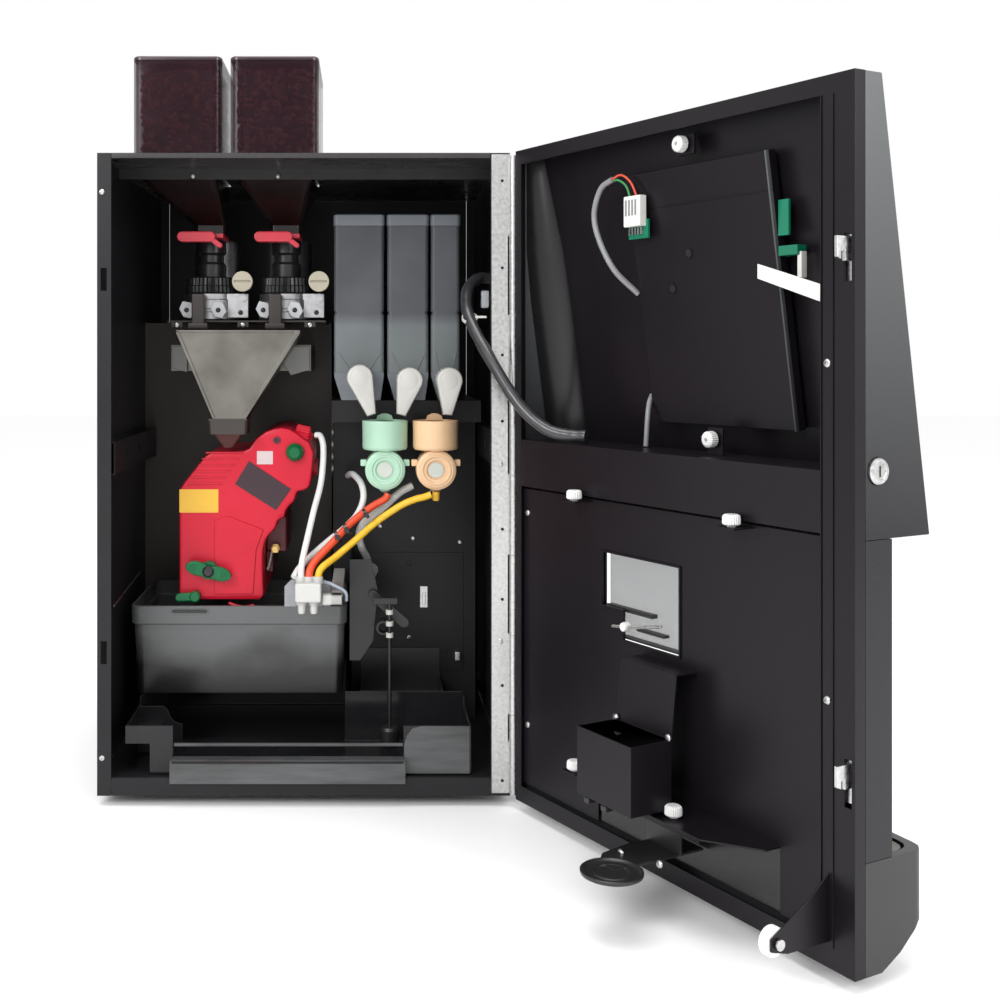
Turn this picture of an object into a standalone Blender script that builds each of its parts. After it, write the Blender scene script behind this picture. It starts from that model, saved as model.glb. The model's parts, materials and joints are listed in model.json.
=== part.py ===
"""Table-top bean-to-cup coffee machine, its door open. Metres, +Z up, the front faces -Y.

Cabinet pieces are placed from the cabinet's centre (x), front plane (y) and bottom edge (z).
Door pieces are placed in the door's own frame: x runs from the hinge axis to the free edge,
y outwards from the door's inner plane, z up from the cabinet's bottom edge.
"""

import math

import bmesh
import bpy
from mathutils import Matrix, Vector

# Cabinet
HALF_WIDTH = 0.235
HEIGHT = 0.732
DEPTH = 0.440
SHEET = 0.002
GAP = 0.0003
WALL = HALF_WIDTH - SHEET
FLOOR_TOP = 0.0205
CEILING = HEIGHT - SHEET
LEFT_FLANGE = 0.016
RIGHT_FLANGE = 0.022
FOOT_HEIGHT = 0.012
SLOT_BOTTOMS = (0.150, 0.575)
SLOT_HEIGHT = 0.026

# Coffee side
BREWER_PLATE_Y = 0.300
GRINDER_SHELF_Z = 0.5455
HOPPER_X = (-0.162, -0.042)
HOPPER_SIZE = (0.110, 0.170)
HOPPER_FRONT = 0.120
HOPPER_TOP = 0.866
GRINDER_X = (-0.129, -0.032)
GRINDER_Y = 0.200
BREWER_FRONT = 0.130
BREWER_BACK = 0.290

# Powder side
MIXER_PANEL_Y = 0.230
SHELF_TOP = 0.4445
CANISTER_FRONT = 0.150
CANISTER_BACK = 0.295
CANISTER_TOP = 0.679
CANISTERS = ((0.031, 0.094), (0.098, 0.150), (0.153, 0.1895))
SPOUTS = ((0.0638, 0.474, 0.0788), (0.125, 0.4705, 0.1138), (0.1738, 0.4705, 0.1713))
SPOUT_TIP_Z = 0.4265
MIXERS = (0.0945, 0.1567)
MIXER_Y = 0.115
CUP_RADIUS = 0.028

# Waste
BIN_BOTTOM = 0.086
BIN_FRONT = 0.108
TRAY_BOTTOM = 0.0215

# Door
HINGE = Vector((0.238, -0.006, 0.0))
DOOR_OPEN = math.radians(118.3)
DOOR_WIDTH = 0.473
DOOR_START = 0.0045
FRAME_DEPTH = 0.012
KNUCKLE_RADIUS = 0.0042
KNUCKLES = 8
COVER_BOTTOM = 0.352
COVER_TOP_DEPTH = 0.032
COVER_BOTTOM_DEPTH = 0.090
LOWER_DEPTH = 0.044
BASE_HEIGHT = 0.092
BASE_CORNER = 0.014
NICHE = (0.110, 0.363)
NICHE_TOP = 0.340
WINDOW = (0.152, 0.266, 0.216, 0.300)
ROLLER = Vector((0.442, -0.059, 0.0335))
LOCK = Vector((0.473, 0.026, 0.408))
TILT = math.atan((COVER_BOTTOM_DEPTH - COVER_TOP_DEPTH) / (HEIGHT - COVER_BOTTOM))


def clear_scene():
    for obj in list(bpy.data.objects):
        bpy.data.objects.remove(obj)


def collection(name):
    made = bpy.data.collections.new(name)
    bpy.context.scene.collection.children.link(made)
    return made


clear_scene()
PARTS = collection("coffee_machine")
CUTTERS = collection("cutters")


def material(name, colour, roughness, metallic=0.0, alpha=1.0):
    made = bpy.data.materials.new(name)
    made.use_nodes = True
    shader = made.node_tree.nodes["Principled BSDF"]
    shader.inputs["Base Color"].default_value = (*colour, 1.0)
    shader.inputs["Roughness"].default_value = roughness
    shader.inputs["Metallic"].default_value = metallic
    shader.inputs["Alpha"].default_value = alpha
    return made


BLACK_STEEL = material("black_steel", (0.022, 0.021, 0.023), 0.42)
BLACK_PLASTIC = material("black_plastic", (0.018, 0.018, 0.019), 0.30)
GLOSS_BLACK = material("gloss_black", (0.010, 0.010, 0.011), 0.10)
STEEL = material("steel", (0.60, 0.58, 0.54), 0.32, 1.0)
ZINC = material("zinc", (0.74, 0.74, 0.73), 0.28, 1.0)
ALUMINIUM = material("aluminium", (0.70, 0.71, 0.73), 0.38, 1.0)
RED = material("red", (0.76, 0.045, 0.085), 0.38)
GREEN = material("green", (0.0, 0.25, 0.09), 0.38)
BEIGE = material("beige", (0.56, 0.53, 0.44), 0.45)
HOPPER_TINT = material("hopper_tint", (0.055, 0.022, 0.030), 0.12, alpha=0.6)
CANISTER_CLEAR = material("canister_clear", (0.33, 0.36, 0.42), 0.32, alpha=0.7)
WHITE = material("white", (0.80, 0.80, 0.78), 0.40)
MINT = material("mint", (0.48, 0.72, 0.55), 0.38)
PEACH = material("peach", (0.85, 0.60, 0.38), 0.38)
RED_HOSE = material("red_hose", (0.85, 0.12, 0.05), 0.40)
YELLOW_HOSE = material("yellow_hose", (0.92, 0.60, 0.07), 0.40)


def mesh_object(name, mesh):
    obj = bpy.data.objects.new(name, mesh)
    CUTTERS.objects.link(obj)
    obj.hide_render = True
    obj.display_type = "WIRE"
    return obj


def box(low, high):
    """A box between two corners."""
    size = Vector(high) - Vector(low)
    centre = (Vector(high) + Vector(low)) / 2
    bm = bmesh.new()
    bmesh.ops.create_cube(bm, size=1.0)
    bmesh.ops.scale(bm, vec=size, verts=bm.verts)
    bmesh.ops.translate(bm, vec=centre, verts=bm.verts)
    mesh = bpy.data.meshes.new("block")
    bm.to_mesh(mesh)
    bm.free()
    return mesh_object("block", mesh)


TURNS = {
    "X": Matrix.Rotation(math.radians(90), 4, "Y"),
    "Y": Matrix.Rotation(math.radians(-90), 4, "X"),
    "Z": Matrix.Identity(4),
}


def cylinder(start, length, radius, axis="Z", sides=24):
    """A cylinder from the centre of its first end, along a positive axis."""
    bm = bmesh.new()
    bmesh.ops.create_cone(
        bm,
        cap_ends=True,
        segments=sides,
        radius1=radius,
        radius2=radius,
        depth=length,
    )
    bmesh.ops.translate(bm, vec=(0, 0, length / 2), verts=bm.verts)
    bmesh.ops.transform(bm, matrix=Matrix.Translation(start) @ TURNS[axis], verts=bm.verts)
    mesh = bpy.data.meshes.new("round")
    bm.to_mesh(mesh)
    bm.free()
    made = mesh_object("round", mesh)
    mesh.shade_smooth()
    mesh.set_sharp_from_angle(angle=math.radians(35))
    return made


def as_mesh(curve_object):
    """The curve's evaluated shape as a mesh object, its caps welded to its sides."""
    graph = bpy.context.evaluated_depsgraph_get()
    mesh = bpy.data.meshes.new_from_object(curve_object.evaluated_get(graph))
    mesh.transform(curve_object.matrix_world)
    bm = bmesh.new()
    bm.from_mesh(mesh)
    bmesh.ops.remove_doubles(bm, verts=bm.verts, dist=1e-6)
    bm.to_mesh(mesh)
    bm.free()
    made = mesh_object(curve_object.name, mesh)
    bpy.data.objects.remove(curve_object)
    return made


PLANES = {
    "X": Matrix(((0, 0, 1, 0), (1, 0, 0, 0), (0, 1, 0, 0), (0, 0, 0, 1))),
    "Y": Matrix(((1, 0, 0, 0), (0, 0, -1, 0), (0, 1, 0, 0), (0, 0, 0, 1))),
    "Z": Matrix.Identity(4),
}


def prism(outline, axis, start, end):
    """A flat outline given as (y, z), (x, z) or (x, y), filled from start to end along its axis."""
    curve = bpy.data.curves.new("outline", "CURVE")
    curve.dimensions = "2D"
    curve.fill_mode = "BOTH"
    curve.extrude = (end - start) / 2
    spline = curve.splines.new("POLY")
    spline.points.add(len(outline) - 1)
    for point, (a, b) in zip(spline.points, outline):
        point.co = (a, b, 0, 1)
    spline.use_cyclic_u = True
    obj = bpy.data.objects.new("outline", curve)
    CUTTERS.objects.link(obj)
    middle = (start + end) / 2
    height = -middle if axis == "Y" else middle
    obj.matrix_world = PLANES[axis] @ Matrix.Translation((0, 0, height))
    bpy.context.view_layer.update()
    return as_mesh(obj)


def loft(sections):
    """A stack of level rectangles, each (z, low x, high x, low y, high y), joined by flat sides."""
    bm = bmesh.new()
    rings = []
    for z, x0, x1, y0, y1 in sections:
        corners = ((x0, y0, z), (x1, y0, z), (x1, y1, z), (x0, y1, z))
        rings.append([bm.verts.new(corner) for corner in corners])
    for lower, upper in zip(rings, rings[1:]):
        for index in range(4):
            after = (index + 1) % 4
            bm.faces.new((lower[index], lower[after], upper[after], upper[index]))
    bm.faces.new(rings[0])
    bm.faces.new(rings[-1])
    bmesh.ops.recalc_face_normals(bm, faces=bm.faces)
    mesh = bpy.data.meshes.new("loft")
    bm.to_mesh(mesh)
    bm.free()
    return mesh_object("loft", mesh)


def smooth_path(route, steps=4):
    """Points read from a smooth curve through the route's own points."""
    points = [Vector(point) for point in route]
    ends = [points[0] * 2 - points[1], *points, points[-1] * 2 - points[-2]]
    path = []
    for before, here, there, after in zip(ends, ends[1:], ends[2:], ends[3:]):
        for step in range(steps):
            s = step / steps
            bend = (before * -1 + here * 3 - there * 3 + after) * s**3
            bend += (before * 2 - here * 5 + there * 4 - after) * s**2
            path.append((bend + (there - before) * s + here * 2) / 2)
    return [*path, points[-1]]


def tube(route, radius, steps=4):
    """A round tube along a smooth route, its ends capped."""
    curve = bpy.data.curves.new("tube", "CURVE")
    curve.dimensions = "3D"
    curve.bevel_depth = radius
    curve.bevel_resolution = 2
    curve.use_fill_caps = True
    path = smooth_path(route, steps)
    spline = curve.splines.new("POLY")
    spline.points.add(len(path) - 1)
    for point, place in zip(spline.points, path):
        point.co = (*place, 1)
    obj = bpy.data.objects.new("tube", curve)
    CUTTERS.objects.link(obj)
    return obj


def combine(operation, body, tools):
    for tool in tools:
        tool.parent = body
        change = body.modifiers.new(operation.lower(), "BOOLEAN")
        change.operation = operation
        change.object = tool
    return body


def join(body, *tools):
    return combine("UNION", body, tools)


def cut(body, *tools):
    return combine("DIFFERENCE", body, tools)


def part(name, body, finish, pivot):
    """Names a body, gives it its material and hangs it on its empty."""
    body.name = name
    body.data.name = name
    body.data.materials.clear()
    body.data.materials.append(finish)
    CUTTERS.objects.unlink(body)
    PARTS.objects.link(body)
    body.hide_render = False
    body.display_type = "TEXTURED"
    body.parent = pivot
    body.location = -Vector(pivot.get("origin", (0, 0, 0)))
    return body


def empty(name, place, parent=None):
    """An empty on a joint's axis. Its pieces keep the frame of the cabinet or of the door."""
    made = bpy.data.objects.new(name, None)
    PARTS.objects.link(made)
    made.empty_display_size = 0.03
    made["origin"] = tuple(place)
    made.parent = parent
    base = Vector(parent.get("origin", (0, 0, 0))) if parent else Vector()
    made.location = Vector(place) - base
    return made


# The cabinet


def side_panel(name, side, flange, slots, rail_x, rail_y, rail_z):
    """A side wall with folded front and rear flanges and a folded rail on its inner face."""
    outer = side * HALF_WIDTH
    inner = side * WALL
    outline = [
        (outer, 0),
        (outer - side * flange, 0),
        (outer - side * flange, SHEET),
        (inner, SHEET),
        (inner, DEPTH - SHEET),
        (outer - side * 0.014, DEPTH - SHEET),
        (outer - side * 0.014, DEPTH),
        (outer, DEPTH),
    ]
    body = prism(outline, "Z", 0, HEIGHT)
    sheet = side * 0.0015
    low, high = sorted((rail_x, inner + sheet / 3))
    face = sorted((rail_x, rail_x + sheet))
    y0, y1 = rail_y
    z0, z1 = rail_z
    join(body, box((low, y0, z1 - 0.0015), (high, y1, z1)))
    join(body, box((low, y0, z0), (high, y1, z0 + 0.0015)))
    join(body, box((face[0], y0, z0 + 0.0005), (face[1], y1, z1 - 0.0005)))
    for bottom in slots:
        slot_low = (-0.231, -0.01, bottom)
        cut(body, box(slot_low, (-0.224, 0.01, bottom + SLOT_HEIGHT)))
    for share in (0.25, 0.55):
        hole_y = y0 + (y1 - y0) * share
        start = (min(rail_x - 0.004, rail_x + 0.004), hole_y, (z0 + z1) / 2)
        cut(body, cylinder(start, 0.008, 0.007, "X", 12))
    return part(name, body, BLACK_STEEL, machine)


def base_plate():
    body = box((-WALL + GAP, 0.0023, FLOOR_TOP - SHEET), (WALL - GAP, 0.437, FLOOR_TOP))
    left = -HALF_WIDTH + LEFT_FLANGE + GAP
    right = HALF_WIDTH - RIGHT_FLANGE - GAP
    join(body, box((left, 0, 0), (right, 0.004, FLOOR_TOP - 0.0002)))
    return part("base_plate", body, BLACK_STEEL, machine)


def top_panel():
    """The roof, its front edge, the fold behind it and the two openings for the hopper throats."""
    inside = WALL - GAP
    body = box((-inside, 0.0023, CEILING), (inside, 0.437, HEIGHT))
    left = -HALF_WIDTH + LEFT_FLANGE + GAP
    right = HALF_WIDTH - RIGHT_FLANGE - GAP
    join(body, box((left, 0, CEILING - 0.004), (right, 0.004, HEIGHT - 0.0002)))
    join(body, box((-inside, 0.116, 0.718), (inside, 0.118, CEILING + 0.001)))
    for x in HOPPER_X:
        cut(body, box((x - 0.050, 0.124, 0.70), (x + 0.050, 0.286, 0.75)))
    return part("top_panel", body, BLACK_STEEL, machine)


def rear_panel():
    """The back sheet, with a water inlet stub, a mains inlet and two rows of vents."""
    body = box((-0.2207, DEPTH - SHEET, 0.001), (0.2207, DEPTH, HEIGHT - 0.001))
    join(body, cylinder((0.150, DEPTH - 0.001, 0.060), 0.014, 0.0125, "Y", 16))
    cut(body, cylinder((0.150, DEPTH + 0.001, 0.060), 0.020, 0.0085, "Y", 16))
    join(body, box((0.070, DEPTH - 0.001, 0.040), (0.104, DEPTH + 0.010, 0.068)))
    cut(body, box((0.075, DEPTH + 0.001, 0.045), (0.099, DEPTH + 0.020, 0.063)))
    for row in range(6):
        z = 0.330 + 0.018 * row
        for x in (-0.110, 0.020):
            cut(body, box((x, DEPTH - 0.01, z), (x + 0.090, DEPTH + 0.01, z + 0.005)))
    return part("rear_panel", body, BLACK_STEEL, machine)


def brewer_plate():
    """The upright sheet behind the brewer, with the shelf that carries both grinders."""
    y = BREWER_PLATE_Y
    body = box((-WALL + GAP, y, FLOOR_TOP + GAP), (0.024, y + SHEET, GRINDER_SHELF_Z))
    shelf_low = (-0.180, 0.160, GRINDER_SHELF_Z - SHEET)
    join(body, box(shelf_low, (0.020, y + 0.001, GRINDER_SHELF_Z - 0.0001)))
    join(body, box((0.0225, y, FLOOR_TOP + GAP), (0.024, 0.4365, GRINDER_SHELF_Z)))
    return part("brewer_plate", body, BLACK_STEEL, machine)


def mixer_panel():
    """The upright sheet behind the mixers, folded back into the canister shelf at its top."""
    y = MIXER_PANEL_Y
    body = box((0.028, y, 0.200), (0.216, y + SHEET, SHELF_TOP - 0.0001))
    join(body, box((0.052, y, FLOOR_TOP + GAP), (0.216, y + SHEET, 0.201)))
    join(body, box((0.028, 0.150, SHELF_TOP - SHEET), (0.216, 0.4365, SHELF_TOP)))
    join(body, box((0.028, 0.150, 0.417), (0.216, 0.1515, SHELF_TOP - 0.0005)))
    join(body, box((0.2145, y + 0.001, FLOOR_TOP + GAP), (0.216, 0.4365, SHELF_TOP - 0.0005)))
    return part("mixer_panel", body, BLACK_STEEL, machine)


def feet():
    for name, x, y in (
        ("foot_front_left", -0.185, 0.060),
        ("foot_front_right", 0.185, 0.060),
        ("foot_rear_left", -0.185, 0.390),
        ("foot_rear_right", 0.185, 0.390),
    ):
        body = cylinder((x, y, -FOOT_HEIGHT), FOOT_HEIGHT + FLOOR_TOP - SHEET - GAP, 0.018)
        part(name, body, BLACK_PLASTIC, machine)


def knuckle_spans(first):
    pitch = (HEIGHT - 0.008) / KNUCKLES
    for index in range(first, KNUCKLES, 2):
        low = 0.004 + pitch * index
        yield low + 0.0003, low + pitch - 0.0003


def cabinet_hinge_leaf():
    """The fixed leaf of the piano hinge, its knuckles solid on the pin."""
    x, y = HINGE.x, HINGE.y
    body = box((0.214, -0.0022, 0.004), (0.2335, -GAP, HEIGHT - 0.002))
    for low, high in knuckle_spans(0):
        join(body, box((0.232, -0.0022, low), (x + 0.0005, -GAP, high)))
        join(body, cylinder((x, y, low), high - low, KNUCKLE_RADIUS, "Z", 12))
    join(body, cylinder((x, y, 0.006), HEIGHT - 0.012, 0.0015, "Z", 8))
    return part("cabinet_hinge_leaf", body, ZINC, machine)


# The coffee side


def hopper(index, name):
    """A tinted bean box whose throat passes through the roof and narrows to the grinder."""
    x = HOPPER_X[index]
    gx = GRINDER_X[index]
    half = HOPPER_SIZE[0] / 2
    back = HOPPER_FRONT + HOPPER_SIZE[1]
    mouth = 0.020
    wall = 0.0025

    def sections(inset, top, low_end):
        throat = 0.048 - inset
        return [
            (low_end, gx - mouth + inset, gx + mouth - inset, 0.182 + inset, 0.218 - inset),
            (0.668, gx - mouth + inset, gx + mouth - inset, 0.182 + inset, 0.218 - inset),
            (0.722 + inset, x - throat, x + throat, 0.126 + inset, 0.284 - inset),
            (HEIGHT + GAP + inset, x - throat, x + throat, 0.126 + inset, 0.284 - inset),
            (
                HEIGHT + GAP * 2 + inset,
                x - half + inset,
                x + half - inset,
                HOPPER_FRONT + inset,
                back - inset,
            ),
            (top, x - half + inset, x + half - inset, HOPPER_FRONT + inset, back - inset),
        ]

    body = loft(sections(0, HOPPER_TOP, 0.6565))
    cut(body, loft(sections(wall, HOPPER_TOP + 0.01, 0.640)))
    part("hopper_" + name, body, HOPPER_TINT, machine)

    low = (x - half, HOPPER_FRONT, HOPPER_TOP + GAP)
    lid = box(low, (x + half, back, HOPPER_TOP + 0.005))
    inner = half - wall - 0.0005
    low = (x - inner, HOPPER_FRONT + wall + 0.0005, HOPPER_TOP - 0.004)
    join(lid, box(low, (x + inner, back - wall - 0.0005, HOPPER_TOP + 0.001)))
    lift = empty("hopper_lid_lift_" + name, (x, HOPPER_FRONT, HOPPER_TOP), machine)
    part("hopper_lid_" + name, lid, HOPPER_TINT, lift)


def shutoff_slide(index, name):
    """The red slide that closes the hopper's throat, with the grip at its front."""
    x = GRINDER_X[index]
    body = box((x - 0.019, 0.165, 0.6503), (x + 0.019, 0.236, 0.6560))
    join(body, box((x - 0.037, 0.148, 0.6440), (x + 0.010, 0.166, 0.6575)))
    tail = [(x + 0.004, 0.6460), (x + 0.011, 0.6500), (x + 0.020, 0.6380), (x + 0.015, 0.6375)]
    join(body, prism(tail, "Y", 0.150, 0.162))
    slide = empty("shutoff_travel_" + name, (x, 0.148, 0.650), machine)
    part("shutoff_slide_" + name, body, RED, slide)


def grinder(index, name):
    """Body with throat, outlet chute and motor; toothed ring round the throat; slotted knob."""
    x = GRINDER_X[index]
    y = GRINDER_Y
    body = cylinder((x, y, GRINDER_SHELF_Z + GAP), 0.0345, 0.0355)
    join(body, cylinder((x, y, 0.575), 0.0747, 0.0190))
    join(body, cylinder((x, 0.266, GRINDER_SHELF_Z + GAP), 0.110, 0.0300))
    join(body, box((x - 0.018, 0.225, 0.548), (x + 0.018, 0.250, 0.576)))
    join(body, box((x - 0.024, 0.150, 0.5465), (x + 0.003, 0.172, 0.576)))
    join(body, box((x - 0.022, 0.150, 0.5345), (x + 0.001, 0.1590, 0.560)))
    join(body, box((x + 0.020, 0.176, 0.5500), (x + 0.050, 0.186, 0.5802)))
    part("grinder_" + name, body, ALUMINIUM, machine)

    ring = cylinder((x, y, 0.5806), 0.0214, 0.0335, "Z", 32)
    cut(ring, cylinder((x, y, 0.570), 0.050, 0.0200, "Z", 24))
    turn = empty("ring_axis_" + name, (x, y, 0.590), machine)
    part("grinder_ring_" + name, ring, BLACK_PLASTIC, turn)

    knob = cylinder((x + 0.0435, 0.160, 0.5950), 0.0120, 0.0130, "Y", 24)
    cut(knob, box((x + 0.030, 0.1590, 0.5940), (x + 0.057, 0.1620, 0.5960)))
    turn = empty("knob_axis_" + name, (x + 0.0435, 0.160, 0.5950), machine)
    part("grinder_knob_" + name, knob, BEIGE, turn)


def coffee_funnel():
    """The folded funnel that both grinders drop into, hung on a bracket from the brewer plate."""
    wall = 0.0015

    def sections(inset, top, bottom):
        return [
            (bottom, -0.104 + inset, -0.094 - inset, 0.120 + inset, 0.140 - inset),
            (0.4230, -0.121 + inset, -0.074 - inset, 0.101 + inset, 0.150 - inset),
            (0.4245, -0.115 + inset, -0.075 - inset, 0.100 + inset, 0.152 - inset),
            (0.5286, -0.160 + inset, -0.009 - inset, 0.100 + inset, 0.185 - inset),
            (top, -0.160 + inset, -0.009 - inset, 0.100 + inset, 0.185 - inset),
        ]

    body = loft(sections(0, 0.5316, 0.3875))
    join(body, box((-0.177, 0.1710, 0.4815), (0.001, 0.1725, 0.5145)))
    join(body, box((-0.177, 0.1712, 0.4815), (-0.1755, 0.2995, 0.5145)))
    join(body, box((-0.0005, 0.1712, 0.4815), (0.001, 0.2995, 0.5145)))
    cut(body, loft(sections(wall, 0.5500, 0.3700)))
    return part("coffee_funnel", body, STEEL, machine)


def brewer():
    """The red brewing unit, its wing knob, release lever and ribbed pressure cap."""
    outline = [
        (-0.1614, 0.1970),
        (-0.1614, 0.3358),
        (-0.1254, 0.3800),
        (-0.0760, 0.3841),
        (-0.0656, 0.3987),
        (-0.0534, 0.4069),
        (-0.0337, 0.4119),
        (-0.0182, 0.4069),
        (-0.0100, 0.3997),
        (0.0023, 0.3924),
        (0.0064, 0.3800),
        (0.0023, 0.3390),
        (-0.0182, 0.3204),
        (-0.0378, 0.2955),
        (-0.0512, 0.2750),
        (-0.0563, 0.2605),
        (-0.0555, 0.2029),
        (-0.0594, 0.1970),
    ]
    body = prism(outline, "Y", BREWER_FRONT, BREWER_BACK)
    join(body, cylinder((-0.014, 0.150, 0.3985), 0.018, 0.0110, "X", 16))
    slide = empty("brewer_travel", (-0.090, BREWER_FRONT, 0.197), machine)
    part("brewer", body, RED, slide)

    wing = cylinder((0, 0, 0), 0.0100, 0.0290, "Y", 24)
    for vertex in wing.data.vertices:
        vertex.co.z *= 0.30
    wing.data.transform(Matrix.Rotation(math.radians(14), 4, "Y"))
    wing.data.transform(Matrix.Translation((-0.1226, 0.1120, 0.2359)))
    join(wing, cylinder((-0.1226, 0.1160, 0.2359), 0.0137, 0.0110, "Y", 16))
    turn = empty("wing_knob_axis", (-0.1226, 0.1120, 0.2359), slide)
    part("brewer_wing_knob", wing, GREEN, turn)

    lever = box((-0.1630, 0.1180, 0.1985), (-0.1350, 0.1250, 0.2080))
    join(lever, cylinder((-0.1400, 0.1160, 0.2035), 0.0137, 0.0065, "Y", 12))
    turn = empty("release_lever_axis", (-0.1400, 0.1160, 0.2035), slide)
    part("brewer_release_lever", lever, GREEN, turn)


# The powder side


def canister(index, name):
    """A powder canister, open at its top, its lower walls drawn in."""
    x0, x1 = CANISTERS[index]
    bottom = SHELF_TOP + GAP

    def sections(inset, top, low):
        y0, y1 = CANISTER_FRONT + inset, CANISTER_BACK - inset
        return [
            (low, x0 + 0.009 + inset, x1 - 0.004 - inset, y0, y1),
            (0.476 + inset, x0 + inset, x1 - inset, y0, y1),
            (top, x0 + inset, x1 - inset, y0, y1),
        ]

    body = loft(sections(0, CANISTER_TOP, bottom))
    cut(body, loft(sections(0.002, CANISTER_TOP + 0.01, bottom + 0.003)))
    part("canister_" + name, body, CANISTER_CLEAR, machine)

    hub_x, hub_z, tip_x = SPOUTS[index]
    radius = 0.0165
    down = Vector((tip_x - hub_x, SPOUT_TIP_Z - hub_z)).normalized()
    side = Vector((-down.y, down.x))
    hub = Vector((hub_x, hub_z))
    tip = Vector((tip_x, SPOUT_TIP_Z)) - down * 0.0005
    outline = [
        hub + side * radius * 0.96,
        tip + side * 0.0052,
        tip - side * 0.0052,
        hub - side * radius * 0.96,
    ]
    spout = cylinder((hub_x, 0.1050, hub_z), 0.0447, radius, "Y", 24)
    join(spout, prism([tuple(point) for point in outline], "Y", 0.1065, 0.1240))
    turn = empty("spout_axis_" + name, (hub_x, 0.1050, hub_z), machine)
    part("spout_" + name, spout, WHITE, turn)


def mixer(index, name, finish):
    """A mixing cup over its whipper chamber, whose motor shaft housing reaches the panel."""
    x = MIXERS[index]
    body = cylinder((x, MIXER_Y, 0.384), 0.0375, CUP_RADIUS)
    cut(body, cylinder((x, MIXER_Y, 0.388), 0.040, CUP_RADIUS - 0.0025))
    join(body, cylinder((x, MIXER_Y, 0.366), 0.020, 0.0150, "Z", 16))
    join(body, cylinder((x, 0.093, 0.3620), 0.045, 0.0245, "Y", 24))
    join(body, cylinder((x, 0.135, 0.3620), 0.0947, 0.0170, "Y", 16))
    join(body, cylinder((x, 0.110, 0.3420), 0.025, 0.0090, "Y", 12))
    return part("mixer_" + name, body, finish, machine)


def outlet_block():
    """The block that gathers the hoses over the cup, with two nozzles, on an arm from the panel."""
    body = box((-0.0200, 0.034, 0.206), (0.0250, 0.066, 0.2365))
    for x in (-0.0045, 0.0100):
        join(body, cylinder((x, 0.050, 0.1975), 0.020, 0.0045, "Z", 12))
    join(body, box((0.0290, 0.045, 0.208), (0.0440, 0.2297, 0.220)))
    join(body, box((0.0200, 0.045, 0.208), (0.0440, 0.060, 0.220)))
    return part("outlet_block", body, WHITE, machine)


RED_ROUTE = (
    (0.0981, 0.1050, 0.3320),
    (0.0945, 0.1035, 0.3260),
    (0.0785, 0.1000, 0.3170),
    (0.0543, 0.0900, 0.2997),
    (0.0305, 0.0750, 0.2765),
    (0.0118, 0.0620, 0.2583),
    (0.0052, 0.0530, 0.2480),
    (0.0038, 0.0500, 0.2385),
)
YELLOW_ROUTE = (
    (0.1500, 0.0900, 0.3330),
    (0.1420, 0.0900, 0.3300),
    (0.1300, 0.0890, 0.3270),
    (0.1120, 0.0890, 0.3190),
    (0.0834, 0.0860, 0.3000),
    (0.0590, 0.0780, 0.2800),
    (0.0360, 0.0670, 0.2620),
    (0.0185, 0.0530, 0.2500),
    (0.0145, 0.0500, 0.2390),
)
BREWER_ROUTE = (
    (0.0080, 0.1500, 0.4010),
    (0.0140, 0.1460, 0.4000),
    (0.0180, 0.1360, 0.3880),
    (0.0180, 0.1210, 0.3650),
    (0.0155, 0.1050, 0.3420),
    (0.0085, 0.0850, 0.3148),
    (0.0008, 0.0680, 0.2812),
    (-0.0045, 0.0530, 0.2560),
    (-0.0054, 0.0500, 0.2385),
)
CABLE_ROUTE = (
    (0.2275, 0.0750, 0.5920),
    (0.2180, 0.0730, 0.5930),
    (0.2050, 0.0660, 0.5930),
    (0.1910, 0.0470, 0.5790),
    (0.1880, 0.0250, 0.5550),
    (0.1960, 0.0020, 0.5280),
    (0.2120, -0.0220, 0.4950),
    (0.2310, -0.0420, 0.4600),
    (0.2490, -0.0560, 0.4360),
    (0.2690, -0.0690, 0.4205),
    (0.2885, -0.0800, 0.4155),
    (0.3060, -0.0900, 0.4150),
)


def hoses():
    part("red_hose", tube(RED_ROUTE, 0.0045), RED_HOSE, machine)
    part("yellow_hose", tube(YELLOW_ROUTE, 0.0042), YELLOW_HOSE, machine)
    part("brewer_hose", tube(BREWER_ROUTE, 0.0038), WHITE, machine)
    part("door_cable", tube(CABLE_ROUTE, 0.0070, 3), BLACK_PLASTIC, machine)


# Waste


def grounds_bin(tray_travel):
    """The bin for spent coffee, with a deeper rim band. It stands on the waste tray's walls."""

    def sections(inset, top, bottom):
        return [
            (bottom, -0.212 + inset, 0.042 - inset, 0.115 + inset, 0.283 - inset),
            (0.1710, -0.215 + inset, 0.045 - inset, 0.111 + inset, 0.287 - inset),
            (0.1725, -0.218 + inset, 0.048 - inset, BIN_FRONT + inset, 0.290 - inset),
            (top, -0.218 + inset, 0.048 - inset, BIN_FRONT + inset, 0.290 - inset),
        ]

    body = loft(sections(0, 0.1950, BIN_BOTTOM))
    cut(body, loft(sections(0.0025, 0.2100, BIN_BOTTOM + 0.003)))
    slide = empty("bin_travel", (-0.085, BIN_FRONT, BIN_BOTTOM), tray_travel)
    part("grounds_bin", body, BLACK_PLASTIC, slide)


def l_outline(inset):
    """The waste tray's plan: wide at the front, then narrowed to the room under the bin."""
    i = inset
    return [
        (-0.205 + i, 0.010 + i),
        (0.192 - i, 0.010 + i),
        (0.192 - i, 0.128 - i),
        (0.048 - i, 0.128 - i),
        (0.048 - i, 0.290 - i),
        (-0.205 + i, 0.290 - i),
    ]


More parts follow.
